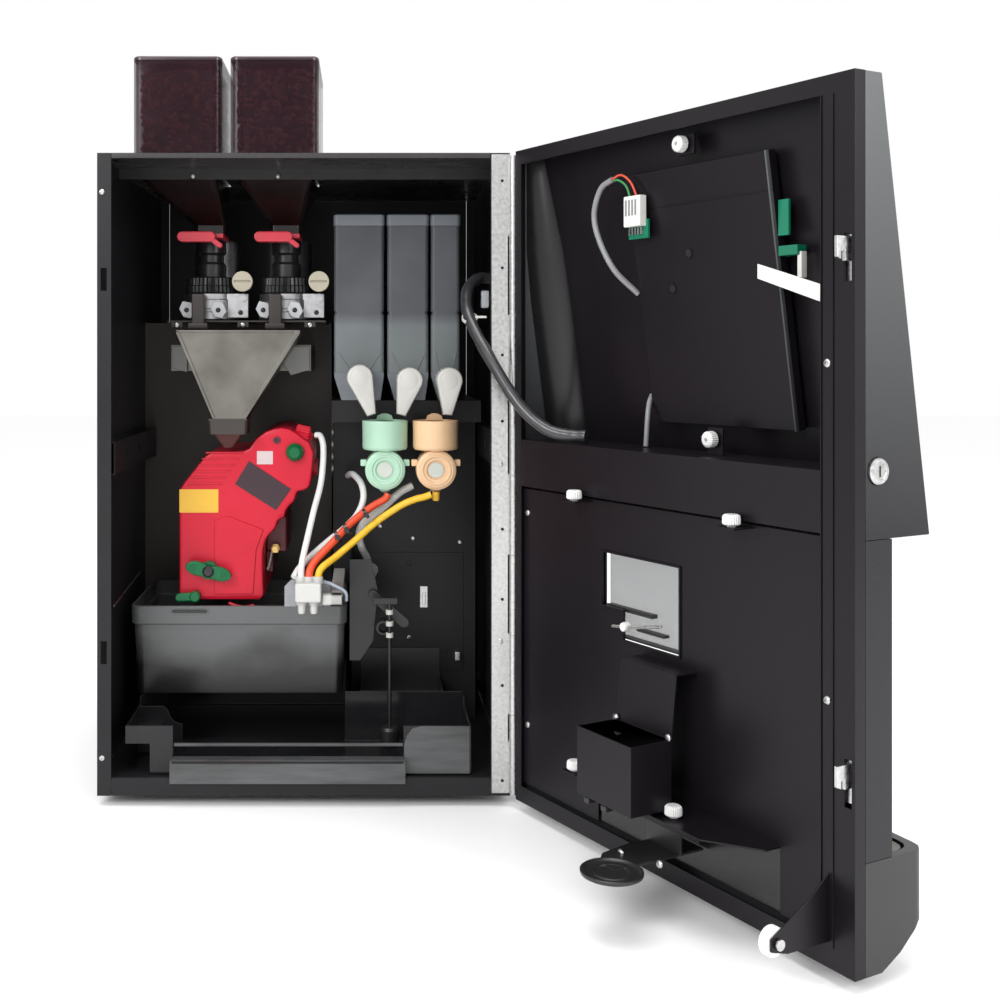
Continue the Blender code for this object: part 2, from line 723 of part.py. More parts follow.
def waste_tray(tray_travel):
    """The tray under everything, with a low front lip hooked over the base flange."""
    wall = 0.003
    top = BIN_BOTTOM - 0.0006
    body = prism(l_outline(0), "Z", TRAY_BOTTOM, top)
    cut(body, box((-0.30, 0.0, 0.0), (-0.177, 0.085, 0.056)))
    basin = prism(l_outline(wall), "Z", TRAY_BOTTOM + wall, top + 0.01)
    cut(basin, box((-0.30, 0.0, 0.0), (-0.177 + wall, 0.085 + wall, 0.056 + wall)))
    cut(body, basin)
    cut(body, box((-0.300, -0.01, 0.0770), (0.300, 0.100, 0.100)))
    cut(body, box((-0.150, -0.01, 0.0400), (0.114, 0.0145, 0.100)))
    join(body, box((-0.150, -0.0045, 0.0375), (0.114, 0.0128, 0.0400)))
    join(body, box((-0.150, -0.0045, 0.0150), (0.114, -0.0020, 0.0395)))
    part("waste_tray", body, GLOSS_BLACK, tray_travel)

    x, y = 0.100, 0.100
    lift = empty("float_travel", (x, y, 0.030), tray_travel)
    rod = cylinder((x, y, 0.045), 0.157, 0.0022, "Z", 10)
    join(rod, cylinder((x, y, 0.030), 0.020, 0.0120, "Z", 16))
    join(rod, box((x - 0.020, y - 0.002, 0.198), (x + 0.010, y + 0.002, 0.206)))
    part("float_rod", rod, BLACK_PLASTIC, lift)


# The door, in its own frame


def door_hinge_leaf():
    """The moving leaf of the piano hinge, on the outside of the door frame."""
    body = box((0.0023, KNUCKLE_RADIUS + GAP, 0.004), (0.0042, 0.022, HEIGHT - 0.002))
    for low, high in knuckle_spans(1):
        join(body, cylinder((0, 0, low), high - low, KNUCKLE_RADIUS, "Z", 12))
        join(body, box((0.0023, -0.0005, low), (0.0042, 0.006, high)))
        cut(body, cylinder((0, 0, low - 0.001), high - low + 0.002, 0.0019, "Z", 8))
    return part("door_hinge_leaf", body, ZINC, door)


def door_frame():
    """The folded steel frame, its slots for the latch hooks and the bracket for the roller."""
    body = box((DOOR_START, 0, 0), (DOOR_WIDTH, FRAME_DEPTH, HEIGHT))
    inner_low = (DOOR_START + SHEET, SHEET, SHEET)
    cut(body, box(inner_low, (DOOR_WIDTH - SHEET, 0.030, CEILING)))
    cut(body, box((0.0150, -0.01, 0.0180), (0.4400, 0.01, 0.7160)))
    for bottom in SLOT_BOTTOMS:
        low = (0.4625, -0.01, bottom - 0.013)
        cut(body, box(low, (0.4695, 0.008, bottom + SLOT_HEIGHT)))
    arm = [(0.001, 0.0225), (-0.048, 0.0230), (-0.066, 0.0280)]
    arm += [(-0.066, 0.038), (-0.052, 0.046), (-0.020, 0.064), (0.001, 0.080)]
    join(body, prism(arm, "X", 0.4465, 0.4482))
    return part("door_frame", body, BLACK_STEEL, door)


def cover_depth(z):
    share = (HEIGHT - z) / (HEIGHT - COVER_BOTTOM)
    return COVER_TOP_DEPTH + (COVER_BOTTOM_DEPTH - COVER_TOP_DEPTH) * share


def upper_cover():
    """The sloping outer cover of the upper door: a shell open towards the frame."""
    back = FRAME_DEPTH + GAP
    wall = 0.0025
    bottom = COVER_BOTTOM + GAP
    shift = wall / math.cos(TILT)
    outer = [(back, bottom), (cover_depth(bottom), bottom)]
    outer += [(COVER_TOP_DEPTH, HEIGHT), (back, HEIGHT)]
    low, high = bottom + wall, HEIGHT - wall
    inner = [(back - 0.01, low), (cover_depth(low) - shift, low)]
    inner += [(cover_depth(high) - shift, high), (back - 0.01, high)]
    body = prism(outer, "X", DOOR_START, DOOR_WIDTH)
    cut(body, prism(inner, "X", DOOR_START + wall, DOOR_WIDTH - wall))
    start = (LOCK.x - 0.010, LOCK.y, LOCK.z)
    cut(body, cylinder(start, 0.020, 0.0113, "X", 24))
    return part("upper_cover", body, BLACK_STEEL, door)


def touch_panel():
    """The glass control panel on the slope of the upper cover."""
    body = box((0.060, 0, 0), (0.417, 0.003, 0.290))
    lean = Matrix.Rotation(TILT, 4, "X")
    body.data.transform(lean)
    foot_z = 0.415
    body.data.transform(Matrix.Translation((0, cover_depth(foot_z) + 0.0006, foot_z)))
    return part("touch_panel", body, GLOSS_BLACK, door)


def lower_cover():
    """The lower outer cover: two hollow columns either side of the cup niche, and the lintel."""
    back = FRAME_DEPTH + GAP
    low = BASE_HEIGHT + GAP
    body = box((DOOR_START, back, low), (DOOR_WIDTH, LOWER_DEPTH, COVER_BOTTOM))
    cut(body, box((NICHE[0], -0.01, 0.0), (NICHE[1], 0.10, NICHE_TOP)))
    wall = 0.0025
    top = COVER_BOTTOM - wall
    hollow_y = LOWER_DEPTH - wall
    left = (DOOR_START + wall, back - 0.01, low + wall)
    cut(body, box(left, (NICHE[0] - wall, hollow_y, top)))
    right = (NICHE[1] + wall, back - 0.01, low + wall)
    cut(body, box(right, (DOOR_WIDTH - wall, hollow_y, top)))
    return part("lower_cover", body, BLACK_STEEL, door)


def niche_back():
    """The back plate of the cup niche, with the opening that the nozzles look through."""
    y = FRAME_DEPTH + GAP
    low = (NICHE[0] + GAP, y, BASE_HEIGHT + GAP)
    body = box(low, (NICHE[1] - GAP, y + SHEET, NICHE_TOP - GAP))
    u0, u1, z0, z1 = WINDOW
    cut(body, box((u0 - 0.004, -0.01, z0 - 0.004), (u1 + 0.004, 0.05, z1 + 0.004)))
    return part("niche_back", body, BLACK_PLASTIC, door)


def inner_panel():
    """The inner sheet of the lower door, with the window, the ledge and the gap below it."""
    low = (0.0070, 0.0050, FLOOR_TOP)
    body = box(low, (0.4540, 0.0065, COVER_BOTTOM))
    u0, u1, z0, z1 = WINDOW
    cut(body, box((u0, -0.01, z0 + 0.030), (u1, 0.02, z1)))
    cut(body, box((u0 + 0.034, -0.01, z0), (u1, 0.02, z0 + 0.031)))
    cut(body, box((0.1450, -0.01, 0.0), (0.3900, 0.02, 0.0780)))
    ledge = [(0.145, 0.0060), (0.145, -0.012), (0.190, -0.045)]
    ledge += [(0.345, -0.045), (0.390, -0.012), (0.390, 0.0060)]
    join(body, prism(ledge, "Z", 0.0775, 0.0790))
    return part("inner_panel", body, BLACK_STEEL, door)


def cross_channel():
    """The channel across the door and the shelf behind it."""
    body = box((0.0152, 0.0000, 0.3550), (0.4398, 0.0015, 0.4070))
    join(body, box((0.0152, 0.0001, 0.4055), (0.4398, 0.0640, 0.4069)))
    join(body, box((0.0152, 0.0001, 0.3551), (0.4398, 0.0045, 0.3566)))
    return part("cross_channel", body, BLACK_STEEL, door)


def control_cover():
    """The sloping back cover of the control panel's electronics."""
    body = box((0.170, 0, 0), (0.362, 0.010, 0.254))
    body.data.transform(Matrix.Rotation(TILT, 4, "X"))
    body.data.transform(Matrix.Translation((0, 0.0580, 0.4330)))
    return part("control_cover", body, BLACK_STEEL, door)


def outlet_guide():
    """The folded guide under the window: an open box on a sloping back plate."""
    body = box((0.212, -0.075, 0.084), (0.290, -0.027, 0.148))
    cut(body, box((0.2135, -0.0735, 0.0855), (0.2885, -0.0285, 0.200)))
    slope = [(-0.0285, 0.140), (-0.0270, 0.140), (-0.0195, 0.207), (-0.0210, 0.207)]
    join(body, prism(slope, "X", 0.212, 0.290))
    join(body, box((0.212, -0.0205, 0.2055), (0.290, 0.0047, 0.2070)))
    return part("outlet_guide", body, BLACK_STEEL, door)


def drain_spout():
    """The paddle under the ledge, with a round drain dish at its end."""
    u, t = 0.300, -0.105
    body = box((0.258, -0.100, 0.0435), (0.298, 0.0045, 0.0460))
    join(body, cylinder((u, t, 0.0436), 0.0080, 0.0280, "Z", 32))
    cut(body, cylinder((u, t, 0.0455), 0.0100, 0.0210, "Z", 32))
    join(body, box((0.255, -0.0260, 0.0440), (0.301, -0.0240, 0.0772)))
    return part("drain_spout", body, BLACK_PLASTIC, door)


def plan_arc(inset, bow):
    """The drip base's bowed front, from the hinge side round to the free side."""
    left, right = DOOR_START + inset, DOOR_WIDTH - inset
    corner = BASE_CORNER
    side = 0.086 - inset
    points = [(left, FRAME_DEPTH + GAP + inset)]
    for step in range(4):
        angle = math.radians(30 * step)
        cx, cy = left + corner, side - corner
        points.append((cx - corner * math.cos(angle), cy + corner * math.sin(angle)))
    for share in (0.25, 0.5, 0.75):
        x = left + corner + (right - left - 2 * corner) * share
        points.append((x, side + bow * (1 - (2 * share - 1) ** 2)))
    for step in range(4):
        angle = math.radians(90 - 30 * step)
        cx, cy = right - corner, side - corner
        points.append((cx + corner * math.cos(angle), cy + corner * math.sin(angle)))
    points.append((right, FRAME_DEPTH + GAP + inset))
    return points


def drip_base():
    """The bowed drip base, curved under at its front, with a pocket under the grille."""
    bow = 0.018
    body = prism(plan_arc(0, bow), "Z", 0, BASE_HEIGHT)
    under = [(0.0, -0.001), (0.030, -0.001), (0.054, 0.012), (0.080, 0.034)]
    under += [(0.095, 0.056), (0.102, 0.080), (0.106, BASE_HEIGHT + 0.001), (0.0, BASE_HEIGHT + 0.001)]
    keep = prism(under, "X", -0.01, 0.50)
    keep.parent = body
    crop = body.modifiers.new("curve_under", "BOOLEAN")
    crop.operation = "INTERSECT"
    crop.object = keep
    cut(body, prism(pocket_outline(0.012), "Z", 0.0600, 0.200))
    cut(body, prism(pocket_outline(0.008), "Z", 0.0870, 0.200))
    return part("drip_base", body, BLACK_PLASTIC, door)


def pocket_outline(inset):
    """The drip pocket's plan, which stays clear of the lower cover's face at its back."""
    back = LOWER_DEPTH - 0.005 + inset
    return [(u, max(t, back)) for u, t in plan_arc(inset, 0.014)]


def drip_grille(lift):
    """The steel grille over the drip pocket, pierced with slots."""
    body = prism(pocket_outline(0.0100), "Z", 0.0873, 0.0905)
    for index in range(9):
        u = 0.075 + 0.040 * index
        cut(body, box((u, 0.054, 0.08), (u + 0.006, 0.082, 0.10)))
    return part("drip_grille", body, STEEL, lift)


def roller(turn):
    body = cylinder((0.438, ROLLER.y, ROLLER.z), 0.0080, 0.0120, "X", 24)
    return part("roller", body, WHITE, turn)


def lock(turn, slide):
    """The key lock on the door's free side, and the hooked bar that it drives."""
    body = cylinder((LOCK.x - 0.016, LOCK.y, LOCK.z), 0.0195, 0.0110, "X", 24)
    cut(body, box((LOCK.x + 0.0015, LOCK.y - 0.0010, LOCK.z - 0.005), (0.50, 0.0270, LOCK.z + 0.005)))
    part("lock_cylinder", body, ZINC, turn)

    bar = box((0.4560, 0.0035, 0.1400), (0.4690, 0.0065, 0.6000))
    for bottom in SLOT_BOTTOMS:
        z = bottom + 0.003
        hook = [(0.0050, z), (-0.0050, z), (-0.0050, z + 0.009), (-0.0090, z + 0.007)]
        hook += [(-0.0090, z + 0.001), (-0.0140, z + 0.003), (-0.0140, z + 0.020), (0.0050, z + 0.020)]
        join(bar, prism(hook, "X", 0.4645, 0.4675))
    part("latch_bar", bar, ZINC, slide)


def stand_on_origin():
    """Moves the whole machine so that the middle of its box's base is the origin."""
    bpy.context.view_layer.update()
    graph = bpy.context.evaluated_depsgraph_get()
    low = Vector((9, 9, 9))
    high = Vector((-9, -9, -9))
    for obj in PARTS.objects:
        if obj.type == "EMPTY":
            continue
        seen = obj.evaluated_get(graph)
        mesh = seen.to_mesh()
        for vertex in mesh.vertices:
            place = seen.matrix_world @ vertex.co
            low = Vector(map(min, low, place))
            high = Vector(map(max, high, place))
        seen.to_mesh_clear()
    middle = (low + high) / 2
    machine.location = (-middle.x, -middle.y, -low.z)


machine = empty("machine", (0, 0, 0))

side_panel("left_side_panel", -1, LEFT_FLANGE, SLOT_BOTTOMS, -0.2165, (0.010, 0.290), (0.364, 0.402))
side_panel("right_side_panel", 1, RIGHT_FLANGE, (), 0.2190, (0.012, 0.222), (0.372, 0.412))
base_plate()
top_panel()
rear_panel()
brewer_plate()
mixer_panel()
feet()
cabinet_hinge_leaf()
for number, side_name in enumerate(("left", "right")):
    hopper(number, side_name)
    shutoff_slide(number, side_name)
    grinder(number, side_name)
coffee_funnel()
brewer()
for number, place_name in enumerate(("left", "middle", "right")):
    canister(number, place_name)
mixer(0, "left", MINT)
mixer(1, "right", PEACH)
outlet_block()
hoses()
tray_slide = empty("tray_travel", (-0.018, 0.0, 0.040), machine)
waste_tray(tray_slide)
grounds_bin(tray_slide)

door = empty("door_axis", HINGE, machine)
door["origin"] = (0, 0, 0)
door.rotation_euler.z = DOOR_OPEN - math.pi
door_hinge_leaf()
door_frame()
upper_cover()
touch_panel()
lower_cover()
niche_back()
inner_panel()
cross_channel()
control_cover()
outlet_guide()
drain_spout()
drip_base()
drip_grille(empty("grille_lift", (0.239, 0.070, 0.089), door))
roller(empty("roller_axis", ROLLER, door))
lock(empty("lock_axis", LOCK, door), empty("latch_travel", (0.466, 0, 0.140), door))

stand_on_origin()
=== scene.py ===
import json
import math

import bmesh
import bpy
from mathutils import Matrix, Vector


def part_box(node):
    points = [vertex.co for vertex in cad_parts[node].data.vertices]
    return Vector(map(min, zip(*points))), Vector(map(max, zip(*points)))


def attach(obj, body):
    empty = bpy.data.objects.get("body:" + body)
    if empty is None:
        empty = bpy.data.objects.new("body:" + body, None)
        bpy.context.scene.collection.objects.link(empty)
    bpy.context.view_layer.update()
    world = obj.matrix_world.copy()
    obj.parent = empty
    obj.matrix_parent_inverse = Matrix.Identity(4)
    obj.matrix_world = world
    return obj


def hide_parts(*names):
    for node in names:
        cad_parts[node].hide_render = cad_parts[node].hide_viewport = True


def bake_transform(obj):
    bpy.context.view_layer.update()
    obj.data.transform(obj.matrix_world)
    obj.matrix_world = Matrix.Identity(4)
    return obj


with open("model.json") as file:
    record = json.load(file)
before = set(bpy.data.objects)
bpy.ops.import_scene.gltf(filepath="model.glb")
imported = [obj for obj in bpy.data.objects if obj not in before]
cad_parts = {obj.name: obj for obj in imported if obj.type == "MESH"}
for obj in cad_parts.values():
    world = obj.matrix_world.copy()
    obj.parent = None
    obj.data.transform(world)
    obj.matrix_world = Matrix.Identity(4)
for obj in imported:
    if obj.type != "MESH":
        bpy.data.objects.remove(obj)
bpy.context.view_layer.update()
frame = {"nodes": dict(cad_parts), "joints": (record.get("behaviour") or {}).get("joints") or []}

# The room. A pale floor, a white surround and three large soft lights, as in a studio. The camera
# stands level in front of the cabinet and frames the open door by its shift alone.
cabinet_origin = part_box("left_side_panel")[0] + Vector((0.235, 0, 0))
in_cabinet = Matrix.Translation(cabinet_origin)

camera_data = bpy.data.cameras.new("camera")
camera_data.lens = 45.04
camera_data.shift_x = 0.135
camera_data.shift_y = -0.146
camera = bpy.data.objects.new("camera", camera_data)
camera.location = in_cabinet @ Vector((0.07, -1.424, 0.503))
camera.rotation_euler = (math.radians(90), 0, 0)
bpy.context.scene.collection.objects.link(camera)
bpy.context.scene.camera = camera
bpy.context.scene.view_settings.view_transform = "Standard"

world = bpy.data.worlds.new("surround")
world.use_nodes = True
world.node_tree.nodes["Background"].inputs["Color"].default_value = (1.0, 1.0, 1.0, 1.0)
world.node_tree.nodes["Background"].inputs["Strength"].default_value = 1.0
bpy.context.scene.world = world

floor_mesh = bpy.data.meshes.new("floor")
floor_mesh.from_pydata([(-9, -9, 0), (9, -9, 0), (9, 9, 0), (-9, 9, 0)], [], [(0, 1, 2, 3)])
floor = bpy.data.objects.new("floor", floor_mesh)
bpy.context.scene.collection.objects.link(floor)
floor_paint = bpy.data.materials.new("floor_paint")
floor_paint.use_nodes = True
floor_shader = floor_paint.node_tree.nodes["Principled BSDF"]
floor_shader.inputs["Base Color"].default_value = (0.97, 0.97, 0.97, 1.0)
floor_shader.inputs["Roughness"].default_value = 0.6
floor_mesh.materials.append(floor_paint)

for light_name, place, aim, side, power in (
    ("key", (-1.5, -2.3, 1.7), (0.0, 0.1, 0.4), 1.3, 42.0),
    ("fill", (1.9, -1.6, 1.3), (0.2, -0.1, 0.4), 1.1, 26.0),
    ("top", (-0.1, -0.3, 2.6), (0.0, 0.0, 0.5), 1.6, 30.0),
):
    lamp = bpy.data.lights.new(light_name, "AREA")
    lamp.shape = "DISK"
    lamp.size = side
    lamp.energy = power
    light = bpy.data.objects.new(light_name, lamp)
    light.location = place
    light.rotation_euler = (Vector(aim) - Vector(place)).to_track_quat("-Z", "Y").to_euler()
    bpy.context.scene.collection.objects.link(light)


# The red and yellow hoses. Soft silicone tubes of 9 mm and 8.4 mm outside, cut from a reel and pushed
# over the mixers' outlets at one end and the nozzle block at the other. Both droop under their weight.
class Value:
    """A node's output that takes part in ordinary arithmetic."""

    def __init__(self, tree, socket):
        self.tree = tree
        self.socket = socket

    def maths(self, operation, *values):
        settings = {"operation": operation}
        return self.tree.node("ShaderNodeMath", settings, dict(enumerate(values)))

    def __add__(self, other):
        return self.maths("ADD", self, other)

    def __sub__(self, other):
        return self.maths("SUBTRACT", self, other)

    def __rsub__(self, other):
        return self.maths("SUBTRACT", other, self)

    def __mul__(self, other):
        return self.maths("MULTIPLY", self, other)

    def __truediv__(self, other):
        return self.maths("DIVIDE", self, other)

    def __pow__(self, other):
        return self.maths("POWER", self, other)

    def __abs__(self):
        return self.maths("ABSOLUTE", self)

    def sine(self):
        return self.maths("SINE", self)

    def clamped(self):
        return self.maths("MINIMUM", self.maths("MAXIMUM", self, 0.0), 1.0)

    __radd__ = __add__
    __rmul__ = __mul__


class Tree:
    """A node tree. One method makes any node: its type, its settings, then its sockets."""

    def __init__(self, tree):
        self.tree = tree

    def node(self, kind, settings, sockets, output=0):
        made = self.tree.nodes.new(kind)
        for name, value in settings.items():
            setattr(made, name, value)
        for name, value in sockets.items():
            self.feed(made.inputs[name], value)
        return Value(self, made.outputs[output])

    def feed(self, socket, value):
        if isinstance(value, Value):
            self.tree.links.new(value.socket, socket)
        else:
            socket.default_value = value


class Finish(Tree):
    """A material whose patterns are laid out in metres over the piece itself."""

    def __init__(self, name, colour, roughness, metallic=0.0, **fixed):
        self.material = bpy.data.materials.new(name)
        self.material.use_nodes = True
        super().__init__(self.material.node_tree)
        self.shader = self.tree.nodes["Principled BSDF"]
        self.place = self.node("ShaderNodeTexCoord", {}, {}, "Object")
        self.set("Base Color", (*colour, 1.0))
        self.set("Roughness", roughness)
        self.set("Metallic", metallic)
        for socket, value in fixed.items():
            self.set(socket.replace("_", " ").title().replace("Ior", "IOR"), value)

    def set(self, socket, value):
        self.feed(self.shader.inputs[socket], value)

    def noise(self, size, detail=2.0, stretch=(1, 1, 1)):
        """Cloudy values round 0.5, each cloud about size metres across."""
        place = self.place
        if stretch != (1, 1, 1):
            settings = {"vector_type": "POINT"}
            place = self.node("ShaderNodeMapping", settings, {"Vector": place, "Scale": stretch})
        sockets = {"Vector": place, "Scale": 1 / size, "Detail": detail}
        return self.node("ShaderNodeTexNoise", {}, sockets, 0)

    def axis(self, name):
        return self.node("ShaderNodeSeparateXYZ", {}, {"Vector": self.place}, name)

    def mix(self, share, first, second):
        """A colour between two colours, each three numbers or another node's colour."""
        ends = [(*end, 1.0) if isinstance(end, tuple) else end for end in (first, second)]
        sockets = {0: share, 6: ends[0], 7: ends[1]}
        return self.node("ShaderNodeMix", {"data_type": "RGBA"}, sockets, 2)

    def bump(self, height, depth):
        sockets = {"Height": height, "Distance": depth, "Strength": 1.0}
        self.set("Normal", self.node("ShaderNodeBump", {}, sockets, 0))


def shade(colour, share):
    """The same colour, lighter or darker."""
    return tuple(min(1.0, part * share) for part in colour)


def silicone(name, colour):
    """Soft tube: milky depth, faint die lines along it and a film of dust."""
    made = Finish(name, colour, 0.36, subsurface_weight=0.15, subsurface_scale=0.004)
    cloud = made.noise(0.012, 3)
    made.set("Base Color", made.mix(cloud, shade(colour, 0.82), shade(colour, 1.12)))
    made.set("Roughness", 0.26 + cloud * 0.22)
    made.bump(made.noise(0.0012, 2), 0.00008)
    return made


def smooth_path(route, steps=6):
    """Points read from a smooth curve through the route's own points."""
    points = [Vector(point) for point in route]
    ends = [points[0] * 2 - points[1], *points, points[-1] * 2 - points[-2]]
    path = []
    for before, here, there, after in zip(ends, ends[1:], ends[2:], ends[3:]):
        for step in range(steps):
            s = step / steps
            bend = (before * -1 + here * 3 - there * 3 + after) * s**3
            bend += (before * 2 - here * 5 + there * 4 - after) * s**2
            path.append((bend + (there - before) * s + here * 2) / 2)
    return [*path, points[-1]]


class Pattern(Tree):
    """A Geometry Nodes tree with named inputs, run once on an object to make a plain mesh."""

    KINDS = {float: "NodeSocketFloat", int: "NodeSocketInt", bool: "NodeSocketBool"}

    def __init__(self, name, finish, **inputs):
        super().__init__(bpy.data.node_groups.new(name, "GeometryNodeTree"))
        self.finish = finish
        face = self.tree.interface
        face.new_socket("Geometry", in_out="INPUT", socket_type="NodeSocketGeometry")
        face.new_socket("Geometry", in_out="OUTPUT", socket_type="NodeSocketGeometry")
        self.values = inputs
        for title, value in inputs.items():
            kind = self.KINDS.get(type(value), "NodeSocketVector")
            if isinstance(value, bpy.types.Object):
                kind = "NodeSocketObject"
            face.new_socket(title, in_out="INPUT", socket_type=kind)
        self.start = self.tree.nodes.new("NodeGroupInput")
        self.end = self.tree.nodes.new("NodeGroupOutput")

    def __getitem__(self, title):
        return Value(self, self.start.outputs[title])

    def run(self, geometry, source):
        """Ends the tree in real meshes with their material, and reads the result on source."""
        real = self.node("GeometryNodeRealizeInstances", {}, {0: geometry})
        material = self.finish.material
        done = self.node("GeometryNodeSetMaterial", {}, {"Geometry": real, "Material": material})
        self.feed(self.end.inputs[0], done)
        change = source.modifiers.new("pattern", "NODES")
        change.node_group = self.tree
        for item in self.tree.interface.items_tree:
            if item.in_out == "INPUT" and item.name in self.values:
                change[item.identifier] = self.values[item.name]
        graph = bpy.context.evaluated_depsgraph_get()
        mesh = bpy.data.meshes.new_from_object(source.evaluated_get(graph))
        source.modifiers.remove(change)
        bpy.data.objects.remove(source)
        return mesh


def line_object(path):
    """A curve of straight steps, for a pattern to work on."""
    curve = bpy.data.curves.new("path", "CURVE")
    curve.dimensions = "3D"
    spline = curve.splines.new("POLY")
    spline.points.add(len(path) - 1)
    for point, place in zip(spline.points, path):
        point.co = (*place, 1)
    made = bpy.data.objects.new("path", curve)
    bpy.context.scene.collection.objects.link(made)
    return made


def tube_mesh(path, radius, finish, pitch=1.0, depth=0.0, sides=20):
    """A tube along a path, plain or with rings of the given pitch and depth."""
    tree = Pattern("tube", finish, Radius=radius, Pitch=pitch, Depth=depth, Sides=sides)
    travel = tree.node("GeometryNodeSplineParameter", {}, {}, "Length")
    ring = abs((travel * math.pi / tree["Pitch"]).sine())
    width = tree["Radius"] - tree["Depth"] * ring**2
    circle = tree.node("GeometryNodeCurvePrimitiveCircle", {}, {"Resolution": tree["Sides"], 4: 1.0})
    sockets = {"Curve": tree["Geometry"], "Profile Curve": circle, "Scale": width, "Fill Caps": True}
    skin = tree.node("GeometryNodeCurveToMesh", {}, sockets)
    skin = tree.node("GeometryNodeSetShadeSmooth", {}, {0: skin, "Shade Smooth": True})
    mesh = tree.run(skin, line_object(path))
    bm = bmesh.new()
    bm.from_mesh(mesh)
    bmesh.ops.remove_doubles(bm, verts=bm.verts, dist=1e-6)
    bmesh.ops.recalc_face_normals(bm, faces=bm.faces)
    bm.to_mesh(mesh)
    bm.free()
    mesh.set_sharp_from_angle(angle=math.radians(50))
    return mesh


def whole_length(path):
    return sum((there - here).length for here, there in zip(path, path[1:]))


def hose(name, route, radius, finish, slot, body="cabinet", frame_place=in_cabinet, **ribs):
    """A free hose along its route in the cabinet or the door."""
    path = [frame_place @ point for point in smooth_path(route)]
    made = bpy.data.objects.new(name + "_tube", tube_mesh(path, radius, finish, **ribs))
    bpy.context.scene.collection.objects.link(made)
    if body:
        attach(made, body)
    round(whole_length(path), 3)
    radius * 2
    return made


RED_ROUTE = (
    (0.0981, 0.105, 0.332),
    (0.0945, 0.1035, 0.326),
    (0.0785, 0.1, 0.317),
    (0.0543, 0.09, 0.2997),
    (0.0305, 0.075, 0.2765),
    (0.0118, 0.062, 0.2583),
    (0.0052, 0.053, 0.248),
    (0.0038, 0.05, 0.2385),
)
YELLOW_ROUTE = (
    (0.15, 0.09, 0.333),
    (0.142, 0.09, 0.33),
    (0.13, 0.089, 0.327),
    (0.112, 0.089, 0.319),
    (0.0834, 0.086, 0.3),
    (0.059, 0.078, 0.28),
    (0.036, 0.067, 0.262),
    (0.0185, 0.053, 0.25),
    (0.0145, 0.05, 0.239),
)
red_hose = hose("red_hose", RED_ROUTE, 0.0045, silicone("red_silicone", (0.8, 0.085, 0.03)), "red_hose")
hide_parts("red_hose")
yellow = silicone("yellow_silicone", (0.9, 0.52, 0.03))
yellow_hose = hose("yellow_hose", YELLOW_ROUTE, 0.0042, yellow, "yellow_hose")
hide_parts("yellow_hose")


# The white hoses. Milky silicone: one from the brewer's cap to the nozzle block, which on the machine
# follows the brewer when it slides out but is built here in place on no body; one for water from the mixer
# panel; one from the right mixer to its drain; and a thin bluish vent tube off the outlet block's side.
BREWER_ROUTE = (
    (0.008, 0.15, 0.401),
    (0.014, 0.146, 0.4),
    (0.018, 0.136, 0.388),
    (0.018, 0.121, 0.365),
    (0.0155, 0.105, 0.342),
    (0.0085, 0.085, 0.3148),
    (0.0008, 0.068, 0.2812),
    (-0.0045, 0.053, 0.256),
    (-0.0054, 0.05, 0.2385),
)
WATER_ROUTE = (
    (0.0475, 0.225, 0.343),
    (0.05, 0.2, 0.347),
    (0.056, 0.16, 0.35),
    (0.0655, 0.125, 0.342),
    (0.068, 0.113, 0.325),
    (0.06, 0.108, 0.306),
    (0.044, 0.1, 0.29),
    (0.025, 0.09, 0.276),
    (0.005, 0.078, 0.26),
    (-0.008, 0.066, 0.248),
    (-0.014, 0.056, 0.239),
)
DRAIN_ROUTE = (
    (0.1282, 0.126, 0.34),
    (0.1132, 0.122, 0.332),
    (0.0946, 0.118, 0.316),
    (0.0786, 0.113, 0.304),
    (0.0663, 0.112, 0.293),
    (0.0626, 0.125, 0.278),
    (0.066, 0.148, 0.26),
    (0.0735, 0.175, 0.24),
    (0.0778, 0.203, 0.219),
)
VENT_ROUTE = (
    (0.019, 0.06, 0.2338),
    (0.03, 0.06, 0.23),
    (0.0463, 0.06, 0.2208),
    (0.048, 0.06, 0.21),
)
milky = silicone("milky_silicone", (0.78, 0.79, 0.78))
brewer_hose = hose("brewer_hose", BREWER_ROUTE, 0.0038, milky, "white_hose", None)
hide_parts("brewer_hose")
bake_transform(brewer_hose)
hose("water_hose", WATER_ROUTE, 0.004, milky, "white_hose")
hose("drain_hose", DRAIN_ROUTE, 0.0046, milky, "white_hose")
hose("vent", VENT_ROUTE, 0.002, silicone("vent_silicone", (0.42, 0.46, 0.56)), "white_hose")


# The door cable. Split black conduit of 14 mm with a fine ring pitch, from the right wall over the
# hinge to the door's shelf, where it crosses the joint in one slack bow. A white tie holds it.
CABLE_ROUTE = (
    (0.2275, 0.075, 0.592),
    (0.218, 0.073, 0.593),
    (0.205, 0.066, 0.593),
    (0.191, 0.047, 0.579),
    (0.188, 0.025, 0.555),
    (0.196, 0.002, 0.528),
    (0.212, -0.022, 0.495),
    (0.231, -0.042, 0.46),
    (0.249, -0.056, 0.436),
    (0.269, -0.069, 0.4205),
    (0.2885, -0.08, 0.4155),
    (0.306, -0.09, 0.415),
)
conduit = Finish("conduit_black", (0.02, 0.02, 0.022), 0.3, coat_weight=0.3, coat_roughness=0.15)
scuffs = conduit.noise(0.006, 4)
conduit.set("Base Color", conduit.mix(scuffs, (0.016, 0.016, 0.017), (0.045, 0.046, 0.05)))
conduit.set("Roughness", 0.2 + scuffs * 0.25)
door_cable = hose(
    "door_cable", CABLE_ROUTE, 0.007, conduit, "cable_black", None, pitch=0.0026, depth=0.0005,
)
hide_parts("door_cable")
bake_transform(door_cable)


